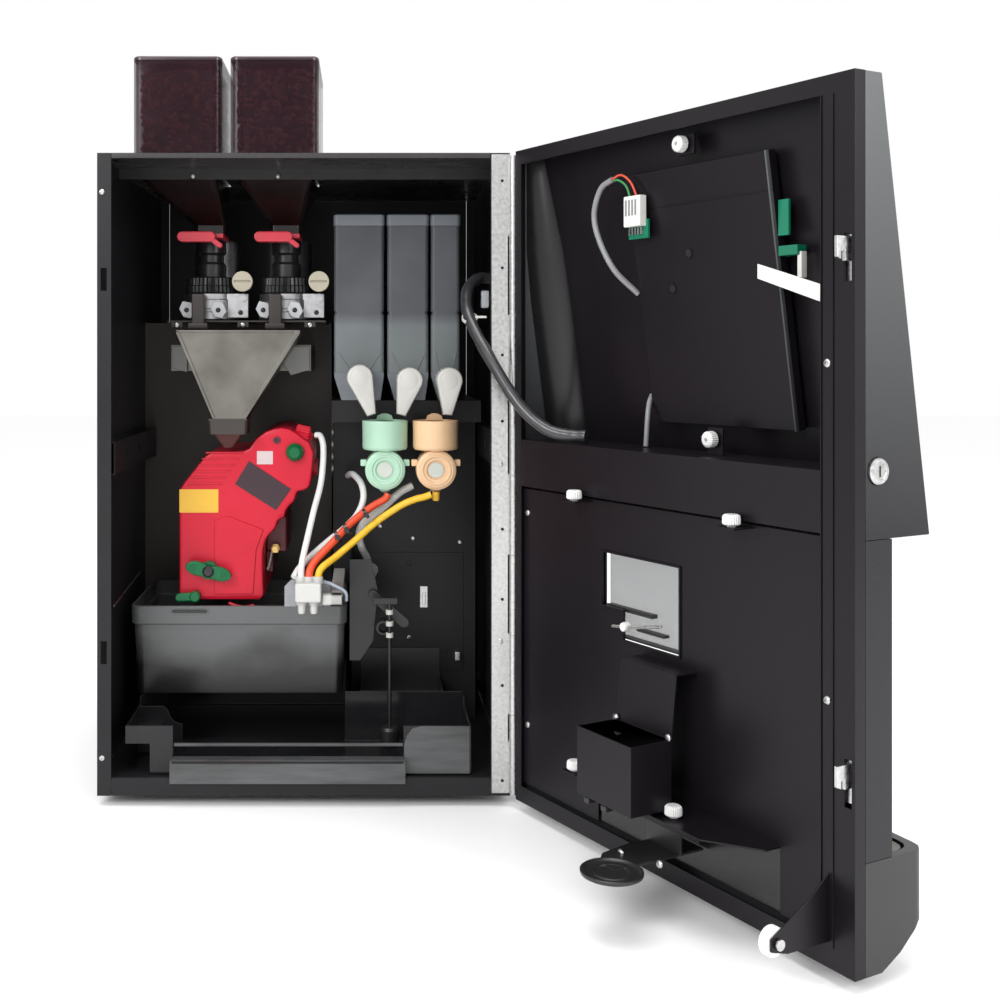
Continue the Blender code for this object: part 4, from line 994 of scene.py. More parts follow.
for side, (_, x) in HOPPERS.items():
    case = turned(
        (
            (0, GRINDER_BASE), (0.033, GRINDER_BASE), (0.0355, GRINDER_BASE + 0.002), (0.0355, 0.556),
            (0.0345, 0.557), (0.0345, 0.56), (0.0355, 0.561), (0.0355, 0.572), (0.0345, 0.573),
            (0.0345, 0.5795), (0.0335, 0.5803), (0, 0.5803),
        ),
        centre=(x, GRINDER_Y, 0),
        sides=64,
    )
    neck = turned(
        ((0.0155, 0.575), (0.0188, 0.575), (0.0188, 0.618), (0.016, 0.6215), (0.016, 0.63),
         (0.019, 0.633), (0.019, 0.648), (0.018, 0.6495), (0.0155, 0.6495), (0.0155, 0.575)),
        centre=(x, GRINDER_Y, 0),
        sides=48,
    )
    motor = turned(
        ((0, GRINDER_BASE), (0.029, GRINDER_BASE), (0.03, 0.548), (0.03, 0.65), (0.028, 0.654),
         (0.009, 0.6545), (0.009, 0.656), (0, 0.656)),
        centre=(x, 0.266, 0),
        sides=48,
    )
    bridge = block((x - 0.018, 0.225, 0.548), (x + 0.018, 0.25, 0.576), 0.002)
    chute = block((x - 0.0195, 0.15, 0.5375), (x - 0.003, 0.164, 0.579), 0.0022, 3)
    mouth = block((x - 0.024, 0.149, 0.5345), (x + 0.001, 0.158, 0.542), 0.0015)
    ears = []
    for ear_x in (x + offset for offset in EAR_OFFSETS):
        lozenge = [
            (ear_x - 0.0095, 0.56), (ear_x - 0.004, 0.55), (ear_x + 0.005, 0.548),
            (ear_x + 0.0105, 0.557), (ear_x + 0.006, 0.568), (ear_x - 0.005, 0.57),
        ]
        ears.append(plate([lozenge], "Y", 0.16, 0.167, 0.001))
    caps = at_points(
        [(x + offset, 0.16, 0.5587) for offset in EAR_OFFSETS], pan_head, tooth_black, FACING_FRONT,
    )
    arm = block((x + 0.02, 0.174, 0.549), (x + 0.05, 0.186, 0.5802), 0.0012)
    stem = turned(rod_profile(0.005, 0.1715, 0.18), "Y", (x + KNOB_OFFSET, 0, 0.575), 16)
    arm_screw = at_points([(x + 0.04, 0.174, 0.556)], pan_head, tooth_black, FACING_FRONT)
    shapes = [(case, cast), (neck, tooth_black), (motor, cast), (bridge, cast), (chute, chute_brown)]
    shapes += [
        (mouth, chute_brown), (caps, tooth_black), (arm, cast), (stem, cast), (arm_screw, tooth_black),
    ]
    shapes += [(ear, ear_white) for ear in ears]
    piece("grinder_unit_" + side, shapes, in_cabinet, "cabinet", "aluminium", "grinder_" + side)

    ring = turned(
        ((0.0202, 0.5808), (0.0325, 0.5808), (0.0335, 0.582), (0.0335, 0.59), (0.0325, 0.5912),
         (0.032, 0.6), (0.03, 0.6018), (0.0202, 0.6018), (0.0202, 0.5808)),
        centre=(x, GRINDER_Y, 0),
        sides=216,
        flutes=36,
        depth=0.0016,
    )
    node = "grinder_ring_" + side
    piece(node + "_teeth", [(ring, tooth_black)], in_cabinet, node, "black_plastic", node)

    slot = slot_outline((-0.0095, 0), (0.0095, 0), 0.0011)
    disc = plate([ring_outline(0, 0, 0.013, 40), slot], "Y", 0, 0.003, 0.0007)
    rim = turned(
        ((0, 0.0028), (0.0128, 0.0028), (0.0128, 0.011), (0.0115, 0.012), (0, 0.012)), "Y", sides=72,
    )
    for mesh in (disc, rim):
        mesh.transform(Matrix.Translation((x + KNOB_OFFSET, 0.16, 0.595)))
    node = "grinder_knob_" + side
    piece(node + "_disc", [(disc, beige), (rim, beige)], in_cabinet, node, "beige_plastic", node)

tabs = [block((x - 0.007, 0.159, 0.537), (x + 0.007, 0.1604, 0.5436), 0.0004) for x in SHELF_SCREWS]
shelf_screws = at_points([(x, 0.159, 0.54) for x in SHELF_SCREWS], pan_head, zinc, FACING_FRONT, 1.1)
shapes = [(mesh, plate_coat) for mesh in tabs] + [(shelf_screws, zinc)]
piece("shelf_screws", shapes, in_cabinet, "cabinet", "zinc")


# The coffee funnel. Folded and spot-welded stainless sheet with hemmed edges, hung on its bracket, with
# milky tabs that hold the chutes and a dark rubber outlet over the brewer.
brushed = Finish("brushed_steel", (0.2, 0.19, 0.17), 0.26, 1.0)
grain_lines = brushed.noise(0.0012, 3, (30, 30, 1))
smudge = brushed.noise(0.05, 3)
brushed.set("Base Color", brushed.mix(smudge, (0.085, 0.08, 0.07), (0.26, 0.25, 0.225)))
brushed.set("Roughness", 0.22 + smudge * 0.18 + grain_lines * 0.1)
brushed.bump(grain_lines, 0.00006)
frosted = moulded("frosted_tab", (0.2, 0.2, 0.19), 0.34)
outlet_rubber = moulded("outlet_rubber", (0.09, 0.035, 0.032), 0.45)


def hem(corners, thickness):
    """A folded edge on the funnel's front wall, from its corners (x, z)."""
    return plate([corners], "Y", 0.099 - thickness, 0.099)


hem_right = hem(
    [(-0.009, 0.5316), (-0.014, 0.5316), (-0.078, 0.425), (-0.075, 0.4245), (-0.009, 0.5286)], 0.0016,
)
hem_left = hem(
    [(-0.16, 0.5316), (-0.157, 0.5316), (-0.113, 0.426), (-0.1155, 0.4245), (-0.16, 0.5286)], 0.001,
)
hem_top = hem([(-0.16, 0.532), (-0.009, 0.532), (-0.009, 0.5296), (-0.16, 0.5296)], 0.001)
collar = loft(
    [
        rounded_ring(z, -0.1205 + i, -0.0745 - i, 0.1015 + i, 0.1495 - i, 0.004)
        for z, i in ((0.405, 0.0), (0.424, -0.001))
    ],
)
tip = loft([
    rounded_ring(0.3875, -0.104, -0.094, 0.12, 0.14, 0.002),
    rounded_ring(0.4049, -0.115, -0.081, 0.106, 0.145, 0.003),
])
tab_left = plate([[(-0.174, 0.512), (-0.156, 0.512), (-0.156, 0.48), (-0.174, 0.486)]], "Y", 0.164, 0.166)
tab_right = plate([[(-0.044, 0.512), (-0.001, 0.512), (-0.001, 0.483), (-0.024, 0.476)]], "Y", 0.164, 0.166)
dots = [(-0.152, 0.1705, 0.504), (-0.014, 0.1705, 0.504), (-0.166, 0.1705, 0.488), (-0.006, 0.1705, 0.488)]
rivets = at_points(dots, pan_head, zinc, FACING_FRONT, 0.7)
funnel_walls = from_cad("coffee_funnel", 0.0005)
funnel_walls.transform(in_cabinet.inverted())
shapes = [(funnel_walls, brushed)]
shapes += [
    (mesh, brushed)
    for mesh in (hem_right, hem_left, hem_top)
] + [(collar, chute_brown), (tip, outlet_rubber)]
shapes += [(tab_left, frosted), (tab_right, frosted), (rivets, zinc)]
piece("funnel", shapes, in_cabinet, "cabinet", "steel", "coffee_funnel")


# The brewer. One moulded red housing with a wavy free side, cast ribs, blank stickers, a pressure cap
# with a milky hose, a green head knob, and darker valve parts with a brass fitting behind it.
brewer_red = Finish("brewer_red", (0.6, 0.014, 0.04), 0.34, specular_ior_level=0.28)
flow = brewer_red.noise(0.06, 3)
sparks = brewer_red.noise(0.001, 2)
brewer_red.set("Base Color", brewer_red.mix(flow, (0.5, 0.009, 0.026), (0.7, 0.018, 0.046)))
brewer_red.set("Roughness", 0.26 + flow * 0.14 + sparks * 0.06)
brewer_red.bump(sparks, 0.00007)
dark_red = moulded("dark_red", (0.13, 0.012, 0.02), 0.38)
green_moulded = moulded("green_moulded", (0.0, 0.13, 0.042), 0.3, specular_ior_level=0.35)
yellow_label = moulded("yellow_label", (0.8, 0.46, 0.04), 0.42)
dark_label = moulded("dark_label", (0.035, 0.012, 0.02), 0.28)
white_label = moulded("white_label", (0.62, 0.5, 0.5), 0.4)
brass = Finish("brass", (0.62, 0.42, 0.16), 0.28, 1.0)
brass_tone = brass.noise(0.003, 3)
brass.set("Roughness", 0.2 + brass_tone * 0.22)
BREWER_FACE = 0.13
BREWER_SIDE = [
    (0.0064, 0.38), (0.0044, 0.3553), (0.0015, 0.339), (-0.006, 0.3332), (-0.014, 0.331),
    (-0.0175, 0.3205), (-0.0235, 0.3145), (-0.028, 0.308), (-0.0305, 0.3), (-0.0378, 0.2956),
    (-0.0415, 0.286), (-0.0512, 0.2751), (-0.056, 0.2605), (-0.0563, 0.2276), (-0.0555, 0.2029),
]
BREWER_TOP = [
    (-0.06, 0.197), (-0.1564, 0.197), (-0.16, 0.1985), (-0.1614, 0.202), (-0.1614, 0.33),
    (-0.16, 0.3362), (-0.156, 0.3425), (-0.129, 0.376), (-0.1225, 0.3805), (-0.115, 0.3816),
    (-0.08, 0.3835), (-0.074, 0.3862), (-0.0656, 0.3987), (-0.0534, 0.4069), (-0.043, 0.4103),
    (-0.0337, 0.4119), (-0.024, 0.4103), (-0.015, 0.4052), (-0.007, 0.3985), (0.001, 0.3935),
]
outline = [(point.x, point.y) for point in smooth_path([(x, z, 0) for x, z in BREWER_SIDE], 3)] + BREWER_TOP
housing = plate([outline], "Y", BREWER_FACE, 0.29, 0.005)
ribs = [
    block(
        (-0.15 + 0.0044 * step, 0.1284, 0.341 + 0.0077 * step),
        (-0.1075 + 0.0052 * step, 0.131, 0.343 + 0.0077 * step),
    )
    for step in range(6)
]
raised = plate(
    [[(-0.117, 0.205), (-0.069, 0.205), (-0.065, 0.26), (-0.056, 0.285), (-0.1, 0.302), (-0.117, 0.296)]],
    "Y", BREWER_FACE - 0.0022, BREWER_FACE + 0.001, 0.0012,
)
sticker = plate(
    [[(-0.1605, 0.335), (-0.112, 0.335), (-0.112, 0.306), (-0.1605, 0.306)]], "Y", 0.1292, 0.1301, 0.0002,
)
badge = plate(
    [[(-0.0741, 0.3701), (-0.0219, 0.3353), (-0.0406, 0.3092), (-0.0915, 0.3415)]], "Y", 0.129, 0.1301,
    0.0003,
)
small_label = plate(
    [[(-0.0642, 0.3825), (-0.0443, 0.3825), (-0.0443, 0.366), (-0.0642, 0.366)]], "Y", 0.1292, 0.1301,
    0.0002,
)
head_knob = turned(
    ((0, 0.118), (0.007, 0.1184), (0.01, 0.121), (0.0118, 0.125), (0.0118, 0.131), (0, 0.131)),
    "Y", (-0.017, 0, 0.3812), 60, 20, 0.001,
)
# Painted shade: a black disc fills the hole inside its rim, standing in for the shaded hole.
hole_rim = turned(sleeve(0.0028, 0.0046, 0.128, 0.1302), "Y", (-0.0395, 0, 0.396))
face_hole_shade = turned(rod_profile(0.0028, 0.129, 0.1302), "Y", (-0.0395, 0, 0.396), 16)
cap = turned(
    (
        (0, 0), (0.009, 0), (0.0118, 0.0012), (0.0118, 0.017), (0.01, 0.0185), (0.005, 0.019),
        (0.005, 0.022), (0, 0.022),
    ),
    "X", sides=96, flutes=24, depth=0.0011,
)
cap.transform(Matrix.Translation((-0.018, 0.15, 0.404)) @ Matrix.Rotation(math.radians(14), 4, "Y"))
rear_valve = block((-0.056, 0.175, 0.25), (-0.03, 0.26, 0.296), 0.003, 3)
rear_foot = block((-0.056, 0.17, 0.225), (-0.047, 0.26, 0.252), 0.002)
fitting = turned(
    (
        (0, 0.16), (0.004, 0.16), (0.004, 0.165), (0.0062, 0.1655), (0.0062, 0.172), (0.005, 0.176),
        (0, 0.176),
    ),
    "Y", (-0.044, 0, 0.256), 6,
)
rod = tube_mesh(
    [Vector(point) for point in ((-0.048, 0.168, 0.254), (-0.051, 0.166, 0.24), (-0.0535, 0.16, 0.229))],
    0.0022, zinc, sides=12,
)
arc_path = smooth_path(
    [(-0.099, 0.131, 0.1935), (-0.09, 0.129, 0.1905), (-0.079, 0.1285, 0.189), (-0.068, 0.129, 0.191)], 5,
)
arc = tube_mesh(arc_path, 0.002, brewer_red, sides=12)
side_ring = turned(
    (
        (0.004, 0), (0.01, 0), (0.011, 0.001), (0.011, 0.006), (0.004, 0.006), (0.004, 0),
    ), "X", (0.002, 0.21, 0.356), 40,
)
shapes = [(mesh, brewer_red) for mesh in (housing, raised, arc, side_ring, *ribs)]
shapes += [
    (sticker, yellow_label), (badge, dark_label), (small_label, white_label), (head_knob, green_moulded),
]
shapes += [(hole_rim, dark_red), (face_hole_shade, black_moulded), (cap, brewer_red), (rear_valve, dark_red)]
shapes += [(rear_foot, dark_red), (fitting, brass), (rod, zinc)]
piece("brewer_housing", shapes, in_cabinet, "brewer", "red_plastic", "brewer")


# The brewer's two controls. A green wing knob with a black hub that clamps the unit, and a small green
# release lever, both moulded.
def tilted(mesh, centre, degrees):
    """Turns a mesh about an axis from front to back through a point."""
    middle = Vector(centre)
    turn = Matrix.Rotation(math.radians(degrees), 4, "Y")
    mesh.transform(Matrix.Translation(middle) @ turn @ Matrix.Translation(-middle))
    return mesh


WING = (-0.1226, 0.112, 0.2359)
WING_TILT = 14
wing_outline = []
for step in range(48):
    angle = math.tau * step / 48
    reach = 0.0085 + 0.0205 * abs(math.cos(angle)) ** 1.6
    wing_outline.append((WING[0] + reach * math.cos(angle), WING[2] + 0.62 * reach * math.sin(angle)))
wings = tilted(plate([wing_outline], "Y", 0.112, 0.1195, 0.0022), WING, WING_TILT)
grooves = [
    tilted(
        block(
            (WING[0] + x, 0.1112, WING[2] - 0.0042), (WING[0] + x + 0.0012, 0.113, WING[2] + 0.0042),
            0.0004,
        ),
        WING, WING_TILT,
    )
    for x in (-0.0235, -0.0205, -0.0175, 0.0163, 0.0193, 0.0223)
]
stub = turned(rod_profile(0.011, 0.118, 0.1296), "Y", (WING[0], 0, WING[2]), 40)
hub = turned(
    ((0, 0.1085), (0.005, 0.1088), (0.0068, 0.11), (0.0072, 0.113), (0, 0.113)), "Y", (WING[0], 0, WING[2]),
    32,
)
shapes = [
    (wings, green_moulded), (stub, green_moulded), (hub, tooth_black),
] + [(groove, green_moulded) for groove in grooves]
piece("wing_knob", shapes, in_cabinet, "brewer_wing_knob", "green_plastic", "brewer_wing_knob")
paddle = plate([slot_outline((-0.159, 0.2025), (-0.14, 0.2035), 0.0052)], "Y", 0.118, 0.125, 0.0016)
axle = turned(
    ((0, 0.116), (0.005, 0.116), (0.0066, 0.1175), (0.0066, 0.1296), (0, 0.1296)), "Y", (-0.14, 0, 0.2035),
    32,
)
shapes = [(paddle, green_moulded), (axle, green_moulded)]
piece("release_lever", shapes, in_cabinet, "brewer_release_lever", "green_plastic", "brewer_release_lever")


# The powder canisters. Blow-moulded milky polycarbonate with flanged lids, their lower walls drawn in to
# a trough, each with a white moulded elbow that turns over the mixers.
milky = Finish("milky_canister", (0.09, 0.095, 0.105), 0.3, specular_ior_level=0.4)
haze = milky.noise(0.07, 3)
# The base colour turns lighter towards the bottom, below about 0.56 m.
lower_share = ((milky.axis("Z") - 0.566) * -60).clamped()
upper_tone = milky.mix(haze, (0.042, 0.042, 0.048), (0.105, 0.11, 0.124))
lower_tone = milky.mix(haze, (0.12, 0.135, 0.14), (0.19, 0.21, 0.215))
milky.set("Base Color", milky.mix(lower_share, upper_tone, lower_tone))
milky.set("Roughness", 0.24 + haze * 0.14)
pale_band = moulded("pale_band", (0.15, 0.165, 0.185), 0.32)
spout_white = moulded("spout_white", (0.54, 0.53, 0.5), 0.34)
CANISTERS = {
    "left": (0.031, 0.094, (0.0638, 0.474, 0.0788)),
    "middle": (0.098, 0.15, (0.125, 0.4705, 0.1138)),
    "right": (0.153, 0.1895, (0.1738, 0.4705, 0.1713)),
}
for side, (x0, x1, (hub_x, hub_z, tip_x)) in CANISTERS.items():
    levels = [
        (0.4448, 0.009, 0.004, 0.004), (0.476, 0.0, 0.0, 0.005), (0.552, 0.0, 0.0, 0.005), (
            0.5535, 0.0012, 0.0012, 0.005,
        ),
        (0.556, 0.0012, 0.0012, 0.005), (0.5575, 0.0, 0.0, 0.005), (0.664, 0.0, 0.0, 0.005),
    ]
    body = loft([rounded_ring(z, x0 + a, x1 - b, 0.15, 0.295, r) for z, a, b, r in levels])
    lid_levels = [(0.6645, -0.0004), (0.6655, -0.0008), (0.6775, -0.0008), (0.679, 0.001)]
    lid = loft([rounded_ring(z, x0 + i, x1 - i, 0.1495 + i, 0.2955 - i, 0.005) for z, i in lid_levels])
    foot_band = plate(
        [
            [
                (x0 + 0.0095, 0.445), (x1 - 0.0045, 0.445), (x1 - 0.0005, 0.474), (x1 - 0.0005, 0.48),
                (x0 + 0.0005, 0.48), (x0 + 0.0005, 0.474),
            ],
        ],
        "Y", 0.149, 0.1502, 0.0003,
    )
    trough = [
        (x0 + 0.004, 0.505), (x0 + 0.006, 0.505), (
            (x0 + x1) / 2 - 0.006, 0.476,
        ), ((x0 + x1) / 2 + 0.006, 0.476),
        (x1 - 0.006, 0.505), (x1 - 0.004, 0.505), (
            (x0 + x1) / 2 + 0.008, 0.4735,
        ), ((x0 + x1) / 2 - 0.008, 0.4735),
    ]
    vee = plate([trough], "Y", 0.1488, 0.1502, 0.0003)
    shapes = [(body, milky), (lid, pale_band), (foot_band, pale_band), (vee, milky)]
    piece("canister_body_" + side, shapes, in_cabinet, "cabinet", "canister_clear", "canister_" + side)

    hub = Vector((hub_x, hub_z))
    tip_point = Vector((tip_x, 0.4265))
    down = (tip_point - hub).normalized()
    lean = math.atan2(down.y, down.x)
    drop = [
        (
            hub.x + 0.0163 * math.cos(lean + math.radians(angle)),
            hub.y + 0.0163 * math.sin(lean + math.radians(angle)),
        )
        for angle in range(70, 291, 10)
    ]
    across = Vector((-down.y, down.x))
    for share in (-1, 1):
        end = tip_point - down * 0.0015 + across * 0.0058 * share
        drop.append((end.x, end.y))
    elbow = plate([drop], "Y", 0.1055, 0.1245, 0.004)
    dome = turned(
        ((0, 0.1046), (0.006, 0.1048), (0.011, 0.1056), (0.015, 0.1075), (0.0163, 0.111), (0.0163, 0.12),
         (0.015, 0.126), (0.0135, 0.13), (0.0135, 0.1497), (0, 0.1497)),
        "Y", (hub_x, 0, hub_z), 48,
    )
    nut = turned(
        (
            (0, 0.138), (0.0155, 0.138), (0.0162, 0.139), (0.0162, 0.148), (0, 0.148),
        ), "Y", (hub_x, 0, hub_z), 72, 18, 0.001,
    )
    node = "spout_" + side
    shapes = [(mesh, spout_white) for mesh in (elbow, dome, nut)]
    piece(node + "_elbow", shapes, in_cabinet, node, "white_plastic", node)


# The mixers. A moulded funnel cup over a round whipper chamber with a pale seal, its clamp ring and its
# motor housing; a barb under the chamber takes the hose. One is mint, the other peach.
MIXER_Y = 0.115
CHAMBER_Z = 0.362
pale_seal = moulded("pale_seal", (0.52, 0.55, 0.5), 0.28)
MIXERS = {
    "left": (0.0945, (0.4, 0.62, 0.47), "mint_plastic"),
    "right": (0.1567, (0.74, 0.49, 0.29), "peach_plastic"),
}
for side, (x, colour, slot) in MIXERS.items():
    shell = moulded("mixer_" + side, colour, 0.32)
    cup = turned(
        (
            (0, 0.384), (0.015, 0.384), (0.0262, 0.386), (0.0276, 0.3885), (0.0278, 0.412), (0.028, 0.415),
            (0.028, 0.42), (
                0.0276, 0.4213,
            ), (0.0258, 0.4215), (0.0253, 0.418), (0.025, 0.39), (0.019, 0.3882), (0, 0.3878),
        ),
        centre=(x, MIXER_Y, 0),
        sides=64,
    )
    throat = turned(
        ((0, 0.365), (0.015, 0.365), (0.014, 0.385), (0, 0.385)), centre=(x, MIXER_Y, 0), sides=40,
    )
    chamber = turned(
        (
            (0, 0.096), (0.011, 0.096), (0.012, 0.0935), (0.0205, 0.093), (0.024, 0.095), (0.0245, 0.098),
            (0.0245, 0.112), (0.0225, 0.114), (0.0225, 0.12), (0.024, 0.121), (0.024, 0.137), (0, 0.138),
        ),
        "Y", (x, 0, CHAMBER_Z), 56,
    )
    face = turned(
        ((0, 0.0945), (0.0085, 0.0945), (0.0095, 0.0952), (0.0095, 0.097), (0, 0.097)), "Y",
        (x, 0, CHAMBER_Z), 40,
    )
    inner_ring = turned(
        (
            (0.015, 0.0932), (0.0162, 0.0922), (0.0178, 0.0922), (0.019, 0.0932), (0.015, 0.0932),
        ), "Y", (x, 0, CHAMBER_Z), 48,
    )
    shaft = turned(rod_profile(0.017, 0.137, 0.2296), "Y", (x, 0, CHAMBER_Z), 40)
    barb = turned(
        ((0, 0.108), (0.0075, 0.108), (0.009, 0.111), (0.009, 0.134), (0, 0.1345)), "Y", (x, 0, 0.342), 32,
    )
    tab = plate(
        [
            [
                (x - 0.011, 0.42), (x + 0.011, 0.42), (x + 0.009, 0.4262), (x + 0.003, 0.429),
                (x - 0.003, 0.429), (x - 0.009, 0.4262),
            ],
        ],
        "Y", 0.137, 0.1405, 0.0008,
    )
    nubs = [block((x + a, 0.104, 0.366), (x + a + 0.0075, 0.114, 0.374), 0.0012) for a in (-0.03, 0.0225)]
    clamp = block((x - 0.004, 0.0915, 0.3845), (x + 0.004, 0.099, 0.3905), 0.001)
    shapes = [(mesh, shell) for mesh in (cup, throat, chamber, inner_ring, barb, tab, clamp, *nubs)]
    shapes += [(face, pale_seal), (shaft, shell)]
    if side == "right":
        stub = turned(
            ((0, 0.324), (0.0038, 0.324), (0.0044, 0.326), (0.0044, 0.3345), (0, 0.3345)),
            centre=(x, 0.104, 0), sides=20,
        )
        shapes.append((stub, yellow_label))
    piece("mixer_unit_" + side, shapes, in_cabinet, "cabinet", slot, "mixer_" + side)


# The outlet block. A white moulded block on an arm from the mixers' sheet: three hose barbs above, two
# nozzles below over the cup, and a clear keeper round them.
OUTLET_Y = 0.05
block_white = moulded("block_white", (0.56, 0.56, 0.54), 0.32)
clear_keeper = Finish("clear_keeper", (0.55, 0.57, 0.6), 0.12, alpha=0.38)
keeper_haze = clear_keeper.noise(0.02, 3)
clear_keeper.set("Roughness", 0.08 + keeper_haze * 0.14)
core = block((-0.012, 0.036, 0.212), (0.019, 0.066, 0.235), 0.003, 3)
sockets = [
    turned(
        ((0, 0.233), (0.0062, 0.233), (0.0062, 0.24), (0.0052, 0.241), (0, 0.241)), centre=(x, OUTLET_Y, 0),
        sides=28,
    )
    for x in (-0.0054, 0.0038, 0.0145)
]
nozzles = [
    turned(
        (
            (0.0026, 0.1975), (0.004, 0.1975), (0.0046, 0.201), (0.0046, 0.208), (0.0062, 0.2085),
            (0.0062, 0.211), (0.0026, 0.211), (0.0026, 0.1975),
        ),
        centre=(x, OUTLET_Y, 0),
        sides=28,
    )
    for x in (-0.0045, 0.01)
]
keeper = plate(
    [[(-0.026, 0.202), (0.029, 0.202), (0.029, 0.226), (0.022, 0.234), (-0.018, 0.234), (-0.026, 0.226)]],
    "Y", 0.0668, 0.0686, 0.0006,
)
arm = block((0.029, 0.045, 0.208), (0.044, 0.2297, 0.22), 0.0015)
arm_end = block((0.02, 0.045, 0.208), (0.044, 0.06, 0.22), 0.0015)
shapes = [
    (mesh, block_white)
    for mesh in (core, arm, arm_end, *sockets, *nozzles)
] + [(keeper, clear_keeper)]
piece("outlet_manifold", shapes, in_cabinet, "cabinet", "white_plastic", "outlet_block")


# Small hose fittings. Black cable ties round the bundle of hoses and the clear elbow where the drain
# hose meets the mixers' sheet.
ties = []
for x, z, across in ((0.037, 0.284, 0.0125), (0.048, 0.293, 0.0125), (0.071, 0.311, 0.009)):
    strap = turned(
        sleeve(across - 0.0012, across, -0.0016, 0.0016), "X", sides=36,
    )
    strap.transform(Matrix.Diagonal((1, 0.62, 0.72, 1)))
    strap.transform(Matrix.Translation((x, 0.082, z)) @ Matrix.Rotation(math.radians(-32), 4, "Y"))
    ties.append(strap)
    head = block((x - 0.003, 0.067, z - 0.003), (x + 0.003, 0.071, z + 0.003), 0.0006)
    ties.append(head)
elbow_path = smooth_path(
    [(0.0778, 0.203, 0.219), (0.0778, 0.212, 0.218), (0.0778, 0.22, 0.218), (0.0778, 0.2296, 0.218)], 4,
)
elbow_tube = tube_mesh(elbow_path, 0.0062, clear_keeper, sides=20)
elbow_collar = turned(
    ((0, 0.224), (0.0095, 0.224), (0.0095, 0.227), (0.008, 0.2296), (0, 0.2296)), "Y", (0.0778, 0, 0.218),
    28,
)
shapes = [(tie, tooth_black) for tie in ties]
piece("hose_ties", shapes, in_cabinet, "cabinet", "black_plastic")
shapes = [(elbow_tube, clear_keeper), (elbow_collar, clear_keeper)]
piece("drain_elbow", shapes, in_cabinet, "cabinet", "white_plastic")


# The conduit's fixings on the right wall. A clear block and a white cable tie where the door's conduit
# leaves the cabinet.
clear_block = block((0.204, 0.015, 0.556), (0.213, 0.025, 0.576), 0.0018, 3)
tie_place = Matrix.Translation((0.1905, 0.015, 0.544)) @ Matrix.Rotation(math.radians(38), 4, "X")
band = turned(sleeve(0.008, 0.0092, -0.0018, 0.0018), sides=36)
band.transform(tie_place)
tail = block((0.196, 0.006, 0.544), (0.209, 0.0076, 0.5466), 0.0005)
shapes = [(clear_block, clear_keeper), (band, spout_white), (tail, spout_white)]
piece("conduit_fixings", shapes, in_cabinet, "cabinet", "white_plastic")


# The grounds bin. A deep bin moulded in black polypropylene with a folded rim band, a grip slot and
# softly drafted walls; it stands on the waste tray's walls.
bin_black = Finish("bin_black", (0.02, 0.02, 0.021), 0.26, coat_weight=0.25, coat_roughness=0.18)
wave = bin_black.noise(0.13, 3, (1, 1, 1.6))
skin = bin_black.noise(0.0014, 2)
# Painted sheen: the base colour is lighter towards the top and in broad waves, standing in for light
# reflected off the bin's front.
painted_sheen = ((bin_black.axis("Z") - 0.128) * 26 + (wave - 0.5) * 2.4).clamped()
bin_black.set("Base Color", bin_black.mix(painted_sheen, (0.007, 0.007, 0.008), (0.098, 0.102, 0.104)))
bin_black.set("Roughness", 0.18 + wave * 0.22)
bin_black.bump(wave * 3.0 + skin * 0.1, 0.0005)
BIN_WALL = 0.0025
levels = [
    (0.086, -0.212, 0.042, 0.115, 0.283, 0.01), (0.0875, -0.2122, 0.0422, 0.1148, 0.2832, 0.011),
    (0.17, -0.215, 0.045, 0.111, 0.287, 0.012), (0.1712, -0.2152, 0.0452, 0.1108, 0.2872, 0.012),
    (0.1722, -0.2175, 0.0475, 0.1085, 0.2895, 0.012), (0.1735, -0.218, 0.048, 0.108, 0.29, 0.012),
    (0.1925, -0.218, 0.048, 0.108, 0.29, 0.012), (0.194, -0.2176, 0.0476, 0.1084, 0.2896, 0.012),
    (0.1944, -0.217, 0.047, 0.109, 0.289, 0.012),
]
outside = [rounded_ring(*level) for level in levels]
inside = [
    rounded_ring(
        z if z > 0.18 else z + 0.003, a + BIN_WALL, b - BIN_WALL, c + BIN_WALL, d - BIN_WALL, r - 0.002,
    )
    for z, a, b, c, d, r in reversed(levels)
]
tub = loft(outside + inside)
slot_frame = plate(
    [
        slot_outline((-0.165, 0.188), (-0.124, 0.188), 0.0034),
        slot_outline((-0.164, 0.188), (-0.125, 0.188), 0.0022),
    ],
    "Y", 0.107, 0.1084, 0.0004,
)
# Painted shade: a darker plate fills the grip slot inside its frame, standing in for the shaded hollow.
grip_slot_shade = plate([slot_outline((-0.164, 0.188), (-0.125, 0.188), 0.0024)], "Y", 0.1076, 0.1082, 0.0001)
shapes = [(tub, bin_black), (slot_frame, bin_black), (grip_slot_shade, tooth_black)]
piece("bin_tub", shapes, in_cabinet, "grounds_bin", "black_plastic", "grounds_bin")


# The waste tray. Gloss black moulded tray under everything: two rounded ears at the front, a stepped low
# front wall, and a lip hooked over the base flange as its handle.
tray_gloss = Finish("tray_gloss", (0.01, 0.01, 0.011), 0.1, specular_ior_level=0.3)
swirl = tray_gloss.noise(0.06, 4)
tray_gloss.set("Base Color", tray_gloss.mix(swirl, (0.006, 0.006, 0.007), (0.02, 0.02, 0.022)))
tray_gloss.set("Roughness", 0.07 + swirl * 0.12)
front_gloss = Finish("front_gloss", (0.05, 0.052, 0.053), 0.16, specular_ior_level=0.45)
